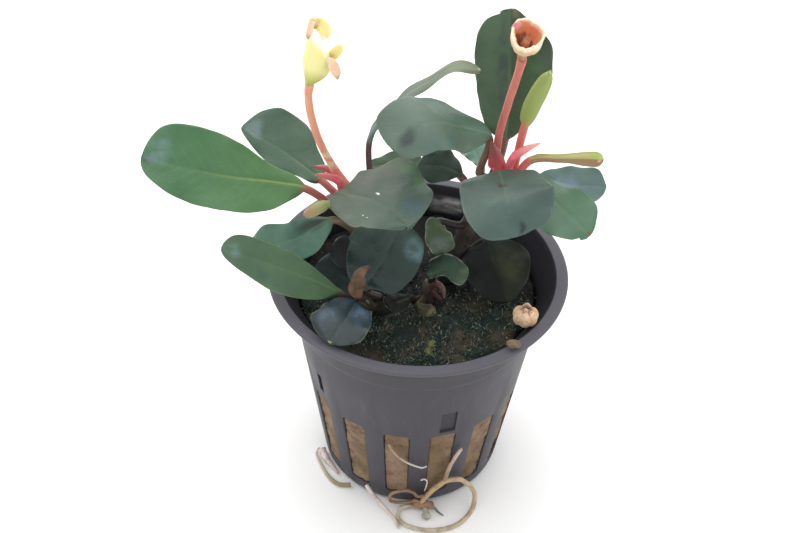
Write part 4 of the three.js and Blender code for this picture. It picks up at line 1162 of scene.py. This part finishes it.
# Colours of each blade as sRGB, and its marks: how far along, how far across, their length, breadth, colour
# and strength. Some marks are painted highlights, sheen or shadows, as said above each leaf's look.
LOOKS = {
    # The blue-grey mark near the tip is a painted highlight.
    "leaf_far_left": dict(
        upper=(71, 115, 63), far=(60, 106, 65), shade=(47, 91, 55), stalk=(160, 96, 84), rib=(140, 160, 80),
        rib_strength=0.6, margin=(120, 140, 90),
        marks=[(0.93, -0.2, 0.12, 0.6, (96, 124, 122), 0.8), (0.97, 0.15, 0.09, 0.3, (30, 52, 44), 0.8)],
    ),
    # The blue-grey mark near the tip is painted sheen.
    "leaf_back_left": dict(
        upper=(45, 82, 52), far=(45, 80, 56), shade=(33, 61, 41), stalk=(170, 90, 84),
        marks=[(0.86, -0.1, 0.14, 0.7, (110, 134, 136), 0.6)],
    ),
    # The dark mark near the foot of the blade is a painted shadow cast by the leaves above it.
    "leaf_drooping_left": dict(
        upper=(82, 121, 104), far=(68, 110, 87), shade=(39, 67, 56),
        marks=[(0.2, -0.3, 0.25, 0.7, (22, 40, 34), 0.9)],
    ),
    # The blue-grey mark near the tip is painted sheen.
    "leaf_front_left": dict(
        upper=(65, 100, 60), far=(67, 96, 69), shade=(46, 72, 52), stalk=(84, 66, 54), rib_strength=0.15,
        margin=(150, 170, 120),
        marks=[(0.93, 0.1, 0.12, 0.7, (104, 132, 124), 0.7), (0.6, 0.6, 0.3, 0.4, (50, 78, 70), 0.6)],
    ),
    # The blue mark near the tip is a painted highlight, and the three white specks are painted glints of
    # water drops.
    "leaf_middle_left": dict(
        upper=(66, 82, 65), far=(61, 84, 70), shade=(52, 71, 58), rib_strength=0.12, margin=(140, 136, 116),
        marks=[
            (0.85, 0.4, 0.2, 0.4, (50, 80, 92), 0.6), (0.6, 0.85, 0.3, 0.2, (70, 110, 66), 0.6),
            (0.3, 0.7, 0.3, 0.5, (92, 88, 78), 0.5), (0.5, 0.16, 0.026, 0.05, (240, 240, 240), 1),
            (0.6, -0.5, 0.015, 0.03, (220, 226, 220), 1), (0.66, -0.52, 0.012, 0.03, (200, 210, 200), 1),
        ],
    ),
    # The pale blue mark is painted sheen.
    "leaf_middle_low": dict(
        upper=(19, 45, 41), far=(27, 61, 49), shade=(16, 37, 39), stalk=(52, 46, 40), rib_strength=0.06,
        margin=(70, 92, 62), gloss=0.32, marks=[(0.75, -0.7, 0.22, 0.45, (92, 130, 136), 0.8)],
    ),
    # The two blue-grey marks on either side of the midrib are painted highlights.
    "leaf_front_small": dict(
        upper=(36, 55, 62), far=(25, 42, 44), shade=(22, 39, 44), stalk=(52, 46, 40), rib=(24, 36, 40),
        rib_strength=0.8, margin=(112, 126, 84), margin_strength=0.6, gloss=0.36, specular=0.4,
        marks=[
            (1, 0, 0.05, 0.5, (176, 176, 96), 0.8), (0.3, 0.5, 0.25, 0.5, (96, 116, 140), 0.7),
            (0.6, -0.5, 0.3, 0.4, (88, 108, 128), 0.6),
        ],
    ),
    "leaf_upper_arch": dict(
        upper=(80, 107, 89), far=(82, 101, 89), shade=(64, 90, 75),
        marks=[(0.88, 0.1, 0.11, 0.34, (36, 50, 50), 0.9), (0.6, 0.7, 0.3, 0.3, (64, 100, 96), 0.6)],
    ),
    "leaf_upper_behind": dict(upper=(123, 162, 145), shade=(95, 134, 117)),
    "leaf_thin_arch": dict(
        upper=(96, 114, 112), far=(110, 120, 91), shade=(74, 91, 78), stalk=(70, 40, 38),
        margin=(170, 160, 90), marks=[(0.98, 0.0, 0.05, 0.9, (200, 196, 140), 0.7)],
    ),
    # other_half is painted light: the half of the blade that faces the light across the midrib's fold is
    # lighter.
    "leaf_upright": dict(
        upper=(50, 77, 48), far=(48, 69, 46), shade=(37, 60, 42), other_half=(66, 97, 69),
        marks=[
            (0.97, -0.5, 0.07, 0.6, (92, 96, 66), 0.9), (0.6, 0.25, 0.5, 0.25, (44, 60, 58), 0.8),
            (0.4, -0.6, 0.3, 0.5, (64, 100, 52), 0.6),
        ],
    ),
    "leaf_rolled_upright": dict(
        upper=(152, 174, 99), far=(142, 164, 90), shade=(152, 156, 71), under=(158, 179, 103),
        stalk=(214, 118, 108), stalk_reach=0.2, rib=(170, 176, 100),
    ),
    "leaf_rolled_right": dict(
        upper=(158, 120, 92), far=(142, 112, 78), shade=(150, 130, 84), other_half=(170, 172, 104),
        under=(160, 158, 92), stalk=(206, 104, 98),
        marks=[(0.88, 0.6, 0.12, 0.8, (146, 172, 66), 0.9), (0.93, -0.3, 0.04, 0.3, (214, 176, 158), 0.9)],
    ),
    "leaf_right_round": dict(
        upper=(70, 90, 79), far=(64, 88, 81), shade=(53, 74, 68), margin=(130, 150, 140),
        marks=[
            (0.33, -0.06, 0.07, 0.15, (56, 42, 42), 1), (0.9, 0.14, 0.1, 0.17, (34, 46, 44), 1),
            (0.6, -0.2, 0.2, 0.9, (88, 108, 104), 0.5),
        ],
    ),
    "leaf_right_low": dict(
        upper=(86, 120, 91), far=(78, 116, 89), shade=(67, 102, 83), margin=(120, 140, 100),
        marks=[(1.0, 0.0, 0.05, 0.6, (120, 72, 52), 0.8)],
    ),
    # The blue-grey mark is a painted highlight.
    "leaf_far_right": dict(
        upper=(68, 100, 91), far=(73, 100, 96), shade=(54, 84, 70),
        marks=[(0.45, 0, 0.3, 0.8, (108, 126, 146), 0.7)],
    ),
    "leaf_dark_middle": dict(upper=(66, 80, 70), stalk=(120, 76, 72)),
    "leaf_behind_middle": dict(upper=(84, 102, 82), stalk=(90, 64, 60), rib_strength=0.2),
    "leaf_hanging_middle": dict(
        upper=(84, 102, 76), shade=(62, 76, 66), stalk=(52, 44, 42), margin=(156, 160, 142),
        margin_from=0.88, margin_strength=0.7,
        marks=[(0.7, -0.2, 0.3, 1.3, (112, 118, 118), 0.7), (0.95, -0.5, 0.15, 0.7, (44, 62, 52), 0.7)],
    ),
    "leaf_curled_middle": dict(
        upper=(58, 78, 62), shade=(42, 56, 50), stalk=(52, 48, 42), margin=(156, 162, 142), margin_from=0.88,
        margin_strength=0.7,
        marks=[(0.95, 0, 0.25, 1.4, (106, 114, 96), 0.8), (0.25, 0.9, 0.5, 0.9, (30, 44, 38), 0.9)],
    ),
    "leaf_low_dark": dict(upper=(26, 32, 26), shade=(18, 21, 21), stalk=(52, 44, 38)),
    "leaf_low_olive": dict(
        upper=(66, 63, 46), shade=(46, 43, 35), stalk=(60, 52, 40), margin=(124, 116, 72), margin_from=0.88,
        marks=[(0.92, 0, 0.3, 1, (120, 112, 66), 0.7)],
    ),
    "leaf_old_mossy": dict(
        upper=(22, 28, 25), shade=(19, 23, 21), other_half=(39, 45, 36), stalk=(44, 40, 36),
        rib_strength=0.03, margin_strength=0.1, gloss=0.65,
        marks=[(0.55, 0.45, 0.3, 0.5, (66, 70, 50), 0.7), (0.3, 0.3, 0.2, 0.5, (58, 64, 48), 0.6)],
    ),
    "leaf_inside_left": dict(upper=(52, 64, 64), shade=(42, 50, 53)),
    "leaf_inside_brown": dict(upper=(57, 68, 70), shade=(78, 58, 63)),
    "leaf_new_left": dict(
        upper=(144, 159, 97), far=(157, 121, 95), shade=(132, 139, 84), under=(150, 158, 101),
        stalk=(170, 100, 84),
    ),
}


def leaf_skin(on, at, blade, way=None, **shape):
    """A leaf grown from a stem: its stalk starts inside the stem's skin."""
    start, out = growth_point(on, at, blade, way)
    foot = [start - out * (STALK_GAP + STALK_SUNK), start, start + STALK_STRAIGHT * out]
    return blade_skin([*foot, *blade], len(foot), **shape)


def leaves():
    for number, (name, leaf) in enumerate(LEAVES.items()):
        slot, common = "leaf_green", {}
        if name in SHADED_NAMES:
            slot, common = "leaf_shaded", SHADED
        elif name in YOUNG_NAMES:
            slot, common = "leaf_young", YOUNG
        finish = leaf_finish(name, **{**common, **LOOKS[name]})
        make_piece(name + "_blade", leaf_skin(**leaf, seed=7.0 * number), finish, [name])


def scales():
    pink = stalk_finish("scale", (192, 86, 92), (196, 112, 106))
    finishes = {
        "scale_left_upper": stalk_finish("scale_dull", (176, 80, 82), (160, 96, 90)),
        "scale_right_upper": stalk_finish("scale_deep", (196, 84, 92), (128, 72, 68)),
        "scale_right_side": stalk_finish("scale_light", (226, 112, 120), (240, 178, 172)),
        "scale_middle": stalk_finish("scale_dark", (78, 56, 52), (92, 62, 56)),
    }
    for name, scale in SCALES.items():
        make_piece(name + "_skin", leaf_skin(**scale), finishes.get(name, pink), [name])


def dried_bract():
    finish = dry_finish("dried_bract", (118, 94, 76), (100, 78, 62), (84, 58, 42), 0.6)
    make_piece("dried_bract_skin", leaf_skin(**DRIED_BRACT), finish, ["dried_bract"])


# Each flower stalk's stem, how much thicker it is at its foot, its foot and head colours, a patch of another
# colour and the points it runs through.
FLOWER_STALKS = {
    "left": ("stem_left", 0.6, (216, 128, 120), (232, 166, 132), (0.36, 0.13, (228, 208, 170)), [
        [-14.3, 1.3, 64], [-15.4, 1, 66.6], [-16.7, 0.5, 70.5], [-17.6, -0.2, 75.5], [-17.7, -0.8, 79],
        [-17.4, -1, 81.1],
    ]),
    "right": ("stem_right", 0.15, (206, 112, 112), (196, 116, 98), None, [
        [12, 2, 66.6], [11.8, 1.5, 71.1], [12.7, 0, 79], [13.4, -1, 83.9], [13.7, -1.9, 87],
    ]),
}


def flower_stalks():
    for side, (stem, thicker, foot, head, patch, points) in FLOWER_STALKS.items():
        start, along = stem_end(stem)
        path = [start - along * (GAP + FLOWER_STALK_SUNK), start, start + along, *points]

        def radius_at(t):
            return FLOWER_STALK_RADIUS + thicker * math.exp(-9 * t) + 0.1 * smooth(t, 0.88, 1)

        finish = stalk_finish("stalk_" + side, foot, head, patch)
        name = "flower_stalk_" + side
        make_piece(name + "_skin", tube(path, radius_at, 60, 24, lumps=0.04), finish, [name])


def cup_skin(base, axis, radius, neck, widest, lean, rim, mouth, wither=None):
    """A spathe's bowl, narrow up to its neck and widest higher up, as shares of its height.

    rim gives its mouth's height and mouth its radius, by the turn. lean moves the wide part sideways off
    the neck. wither gives how far towards the base its inside has browned, also by the turn.
    """
    stand = np.array(Vector((0, 0, 1)).rotation_difference(Vector(axis)).to_matrix())
    turns = np.linspace(0, 2 * math.pi, SPATHE_SIDES, endpoint=False)
    shares = np.linspace(0, 1, SPATHE_STEPS)

    def skin(inset):
        rings = []
        for t in shares:
            opened = math.sin(math.pi / 2 * min(1, max(0, (t - neck) / (widest - neck))))
            swell = 0.3 + 0.7 * opened
            reach = radius * (swell + (mouth(turns) - 1) * max(0, t - widest) / (1 - widest)) - inset
            ring = round_axis(reach, turns, inset + t * (rim(turns) - inset))
            ring[:, 0] += lean * opened
            ring[:, :2] *= (1 + 0.05 * rough(ring, 1.6, base[0]))[:, None]
            rings.append(ring @ stand.T + np.array(base))
        return rings

    def marks(browned, side):
        return [np.stack([np.cos(turns), t + browned, 0 * turns + side], -1) for t in shares]

    browned = wither(turns) if wither else 0 * turns
    inside = marks(browned, -1)
    shape = loft(skin(0) + skin(SPATHE_THICKNESS)[::-1])
    return *shape, {"blade": with_ends(marks(0 * turns, 1) + inside[::-1])}


def petal(points, widths, face, **shape):
    """A loose lobe of a spathe: a blade with no stalk."""
    blade = {"stalk": 0.2, "flat_at": 0.02, "wave": 0, **shape}
    points, faces, attributes = blade_skin(points, 0, widths, widths, face, **blade)
    return points, faces, {"blade": attributes["blade"]}


def left_spathe():
    """The open spathe: a pale bowl that leans off its stalk, with a narrow hood and withered lobes."""

    def hood(turn):
        return 0.5 + 0.5 * np.cos(turn + 2.3)

    def rim(turn):
        return 4.6 + 4.6 * hood(turn) + 0.2 * np.sin(5 * turn + 1) + 0.12 * np.sin(11 * turn)

    def mouth(turn):
        return 0.95 - 0.6 * hood(turn) ** 2

    bowl = cup_skin((-17.4, -1, 81), (0, -0.05, 1), 2.05, 0, 0.5, 1.15, rim, mouth)
    upper_lobe = petal(
        [[-16.7, -0.6, 90], [-15.8, -0.8, 90.7], [-14.9, -1, 89.8], [-15.2, -1.3, 88.4]],
        (0.5, 0.9, 1, 0.8, 0.4), (0.2, -1, 0.3), cup=0.4,
    )
    right_lobe = petal(
        [[-14.4, -0.4, 85], [-13.4, -0.7, 86.2], [-12.1, -0.9, 87.8]],
        (0.4, 0.7, 0.8, 0.6, 0.3), (0, -1, 0.4), cup=0.5,
    )
    cream = spathe_finish(
        "spathe_left", foot=(186, 188, 96), body=(238, 232, 162), rim=(252, 248, 228),
        inside=(255, 253, 246), deep=(255, 252, 240), brown=(222, 196, 140), brown_from=1.3, flesh=0.6,
    )
    whole = joined([bowl, upper_lobe, right_lobe])
    make_piece("spathe_left_skin", whole, cream, ["spathe_left"])
    hook = petal(
        [[-15.9, -0.4, 90.1], [-16.4, -1.2, 91.3], [-16.8, -1.8, 90.3], [-17.3, -2, 88.9]],
        (0.5, 0.6, 0.5, 0.45, 0.3), (-0.4, -1, 0.3), cup=0.6,
    )
    flap = petal(
        [[-15, -1.8, 84.8], [-14.1, -2.3, 85.4], [-13.4, -2.5, 84.4], [-13, -2.5, 82.8]],
        (0.5, 0.75, 0.8, 0.65, 0.25), (0.3, -1, 0.4), cup=0.4,
    )
    withered = spathe_finish(
        "spathe_withered", foot=(246, 234, 196), body=(236, 206, 172), rim=(196, 142, 116),
        inside=(236, 206, 178), deep=(236, 206, 178), brown=(132, 92, 76), brown_from=0.95,
    )
    make_piece("spathe_left_lobes", joined([hook, flap]), withered)


def right_spathe():
    """The cup left when a spathe's hood has dropped: cream outside, orange inside and brown in its depth."""

    def rim(turn):
        torn = 0.12 * np.sin(4 * turn + 0.6) + 0.1 * np.sin(9 * turn) + 0.06 * np.sin(17 * turn + 2)
        return 5.6 + 0.4 * np.cos(turn - 1.6) + torn

    def mouth(turn):
        return 1.02 + 0.06 * np.sin(3 * turn + 1)

    def wither(turn):
        return -0.25 * (0.5 - 0.5 * np.cos(turn)) ** 2

    cup = cup_skin((13.6, -1.9, 87.3), (0.05, -0.5, 1), 2.3, 0.3, 0.8, 0, rim, mouth, wither)
    flesh = spathe_finish(
        "spathe_right", foot=(168, 114, 90), body=(216, 182, 146), rim=(250, 236, 206),
        inside=(240, 168, 128), deep=(164, 112, 86), brown=(190, 130, 112), brown_from=1.22, deep_to=0.34,
    )
    make_piece("spathe_right_skin", cup, flesh, ["spathe_right"])
    blotch = petal(
        [[11.7, -3.6, 92], [12.2, -3.4, 92.9], [13, -3.2, 93.3]],
        (0.25, 0.45, 0.5, 0.4, 0.2), (-0.2, -0.8, 0.6), cup=0.3,
    )
    pink = spathe_finish(
        "spathe_blotch", foot=(214, 150, 150), body=(206, 136, 138), rim=(214, 150, 146),
        inside=(214, 160, 150), deep=(214, 160, 150), brown=(190, 120, 112), brown_from=1.2,
    )
    make_piece("spathe_right_blotch", blotch, pink)


# Each spadix's points, and its colours on its ridges, between them and in its creases.
SPADICES = {
    "spadix_left": (
        [[-16.2, -1.2, 83.8], [-16.1, -1.2, 84.9], [-16, -1.3, 86.2]],
        (250, 242, 200), (240, 222, 160), (222, 190, 130),
    ),
    "spadix_right": (
        [[13.7, -2.9, 89.7], [13.75, -3.4, 90.6], [13.8, -3.8, 91.5]],
        (224, 176, 142), (188, 134, 104), (138, 92, 72),
    ),
}


def spadices():
    for name, (points, pale, tan, brown) in SPADICES.items():
        shape = tube(points, lambda t: SPADIX_RADIUS * (1 - 0.6 * t**4), 20, 24, lumps=0.3, lump_size=0.5)
        make_piece(name + "_skin", shape, dry_finish(name, pale, tan, brown), [name])


# Each root's radius at its start and end, its colour and the points it runs through.
ROOTS = {
    "root_big_loop": (0.5, 0.38, "golden", [
        [2.7, -18.7, 2.3], [3.3, -18.6, 3.7], [5.5, -18.4, 7.1], [6.9, -18.2, 8.5], [8.6, -17.6, 8.3],
        [10.2, -16.6, 6.7], [12.6, -16.6, 3.1], [12.4, -18.4, 0.6], [9.7, -21.9, 0.5], [6, -23.4, 0.5],
        [2, -23.4, 0.5], [-0.8, -22.3, 0.5], [-1.6, -21.2, 0.5], [-1.3, -19.4, 0.7], [0, -18.9, 1.1],
        [1.5, -18.8, 1.4],
    ]),
    "root_climbing": (0.42, 0.32, "peach", [
        [6.7, -18.15, 8.2], [6.9, -18.1, 9.8], [7.5, -18.2, 13.1], [8.9, -18.1, 17.2], [9.2, -18.1, 17.9],
    ]),
    "root_pale": (0.38, 0.26, "pale", [
        [-7.9, -16.9, 4.2], [-6.3, -17.9, 2.3], [-3.1, -20.9, 1.2], [-2.1, -21.9, 0.7], [-1.4, -23.4, 0.4],
    ]),
    "root_small_ring": (0.31, 0.31, "orange", [
        [2.4, -18.8, 2.2], [1.6, -18.9, 3], [0.5, -18.9, 2.5], [-1.4, -18.8, 1.9], [-3.1, -18.7, 2.1],
        [-3.4, -18.8, 3.3], [-2.9, -18.9, 4.8], [-0.3, -19.3, 6.5], [0.9, -19.3, 6.1], [1.9, -19.1, 4.6],
        [3.2, -18.7, 4.3],
    ]),
    "root_spike": (0.35, 0.1, "grey", [
        [4.4, -18.8, 1.2], [5.2, -18.9, 0.8], [5.8, -19.5, 0.6], [6.9, -20.2, 0.4],
    ]),
    "root_hook": (0.14, 0.12, "pale", [
        [2.3, -18.9, 9.3], [2.9, -18.9, 9.6], [3.4, -18.8, 9], [3.3, -18.6, 6.8], [3.1, -18.5, 5.6],
    ]),
    "root_left_loop": (0.25, 0.45, "olive", [
        [-18, -6.4, 1.4], [-18.5, -7.2, 0.7], [-17.7, -9.1, 0.5], [-15.3, -12.9, 0.5], [-13.6, -14.2, 0.5],
        [-12.6, -14.4, 0.5], [-11.2, -14.4, 0.7],
    ]),
    "root_left_strip": (0.85, 0.2, "pale", [
        [-17.5, -6.6, 1.2], [-16.4, -8.5, 0.9], [-15, -10.2, 0.6], [-13.8, -11.6, 0.4],
    ]),
    "root_slot_thread": (0.2, 0.14, "olive_pale", [
        [-3.7, -20.2, 21], [-3, -20.1, 18.9], [-0.8, -19.9, 15.9], [1.4, -19.6, 14.2], [2.4, -19.5, 13.8],
        [3.2, -19.3, 14],
    ]),
}

# The colours of roots at the foot, at the tip and in their darker patches.
ROOT_COLOURS = {
    "golden": ((184, 158, 122), (194, 184, 166), (152, 124, 94)),
    "peach": ((150, 124, 100), (196, 172, 162), (128, 102, 88)),
    "pale": ((224, 208, 206), (204, 190, 178), (178, 152, 142)),
    "orange": ((154, 120, 92), (138, 108, 86), (98, 74, 58)),
    "pale_green": ((178, 178, 162), (160, 160, 144), (128, 126, 110)),
    "grey": ((124, 122, 108), (104, 98, 88), (88, 84, 76)),
    "olive": ((196, 186, 174), (150, 134, 100), (136, 120, 98)),
    "olive_pale": ((154, 140, 92), (214, 206, 196), (128, 112, 76)),
}


def roots():
    finishes = {name: root_finish("root_" + name, *colours) for name, colours in ROOT_COLOURS.items()}
    for name, (start, end, colour, points) in ROOTS.items():
        shape = tube(points, lambda t: start + (end - start) * t, 14 * len(points), 16, lumps=0.14)
        make_piece(name + "_skin", shape, finishes[colour], [name])
    mass = ball((2.9, -18.7, 1.6), (2.2, 0.8, 1), 0.16, 0.7, 6)
    make_piece("root_mass_skin", mass, finishes["orange"], ["root_mass"])
    nub = ball((3.7, -20.6, 0.75), (0.85, 0.9, 0.7), 0.1, 0.8, 2)
    neck = tube([[3.3, -19, 1.2], [3.6, -20.2, 0.8]], lambda t: 0.42, 8, 12, lumps=0.2)
    make_piece("root_nub_skin", joined([nub, neck]), finishes["pale_green"], ["root_nub"])


def ball(centre, halves, crumple, size, seed):
    """A crumpled lump of dead matter with the given half-sizes."""
    made = bmesh.new()
    bmesh.ops.create_icosphere(made, subdivisions=BALL_FINENESS, radius=1)
    points = np.array([v.co for v in made.verts])
    faces = [tuple(v.index for v in face.verts) for face in made.faces]
    made.free()
    folds = 1 - 2 * np.abs(rough(points, size, seed))
    points = points * (0.92 + crumple * folds + 0.5 * crumple * rough(points, 0.4 * size, seed))[:, None]
    share = smooth(folds, 0.9, -0.2)
    marks = np.stack([0 * share, 0.9 * share, 0 * share], -1)
    return points * np.array(halves) + np.array(centre), faces, {"blade": marks}


def dried_bits():
    """The dropped flower on the lip, of curled petals round a crumpled middle, and a crumb beside it."""
    peach = dry_finish("dried_flower", (236, 208, 178), (210, 172, 136), (112, 76, 56), 0.56)
    tan = dry_finish("dried_crumb", (122, 106, 88), (104, 90, 76), (78, 66, 54))
    centre = np.array([18, -12.2, 45.6])
    lobes = [ball(centre, (1.5, 1.4, 1.4), 0.2, 0.9, 4)]
    for turn in np.radians([15, 80, 150, 205, 262, 318]):
        out = np.array([math.cos(turn), math.sin(turn), 0])
        ribs = [(0.5, -1.2), (1.6, -0.7), (1.85, 0.4), (1.3, 1.4), (0.5, 1.6)]
        points = [centre + out * reach + [0, 0, lift] for reach, lift in ribs]
        curled = {"cup": -0.4, "thick": 1.3, "seed": turn}
        lobes.append(petal(points, (0.7, 1.05, 1.1, 0.9, 0.5), out + [0, 0, 0.3], **curled))
    crumb = ball((15.7, -19.4, 46.4), (1.2, 0.8, 0.5), 0.2, 0.7, 9)
    make_piece("dried_flower_skin", joined(lobes), peach, ["dried_flower"])
    make_piece("dried_crumb_skin", crumb, tan, ["dried_crumb"])


# Studio
def floor():
    mesh = bpy.data.meshes.new("floor")
    corners = [(GROUND_REACH * x, GROUND_REACH * y, 0) for x, y in ((-1, -1), (1, -1), (1, 1), (-1, 1))]
    mesh.from_pydata(corners, [], [(0, 1, 2, 3)])
    mesh.materials.append(Finish("floor", specular=0.1).done(linear((250, 250, 250)), 0.9))
    link("floor", mesh)


def surroundings():
    """A white studio, brighter overhead and behind the plant than on the camera's side."""
    world = bpy.data.worlds.new("studio")
    world.use_nodes = True
    bpy.context.scene.world = world
    nodes, links = world.node_tree.nodes, world.node_tree.links
    place = nodes.new("ShaderNodeTexCoord")
    split = nodes.new("ShaderNodeSeparateXYZ")
    links.new(place.outputs["Generated"], split.inputs[0])
    back = nodes.new("ShaderNodeMapRange")
    back.interpolation_type = "SMOOTHSTEP"
    for socket, value in zip(back.inputs[1:5], (-0.8, 0.5, 0.85, 1.5)):
        socket.default_value = value
    links.new(split.outputs["Y"], back.inputs[0])
    links.new(back.outputs[0], nodes["Background"].inputs["Strength"])
    nodes["Background"].inputs["Color"].default_value = (1, 1, 1, 1)


def key_lamp():
    light = bpy.data.lights.new("key", "AREA")
    light.size = LAMP_SIZE
    light.energy = LAMP_POWER
    lamp = link("key", light)
    lamp.location = LAMP_PLACE
    lamp.rotation_euler = (Vector(LAMP_AIM) - Vector(LAMP_PLACE)).to_track_quat("-Z", "Y").to_euler()


def camera():
    data = bpy.data.cameras.new("camera")
    data.sensor_width = SENSOR
    data.lens = FOCAL_PIXELS * SENSOR / IMAGE_WIDTH
    data.clip_start = 0.01
    view = link("camera", data)
    turn = Matrix((CAMERA_RIGHT, CAMERA_UP, [-c for c in CAMERA_AHEAD])).transposed().to_4x4()
    view.matrix_world = Matrix.Translation(Vector(CAMERA_PLACE) * MM) @ turn
    bpy.context.scene.camera = view


net_pot()
wool_plug()
wool_fibres()
moss_ground()
moss_turf()
stems()
leaves()
scales()
flower_stalks()
left_spathe()
right_spathe()
spadices()
roots()
dried_bract()
dried_bits()
floor()
surroundings()
key_lamp()
camera()
bpy.context.scene.view_settings.view_transform = "Standard"
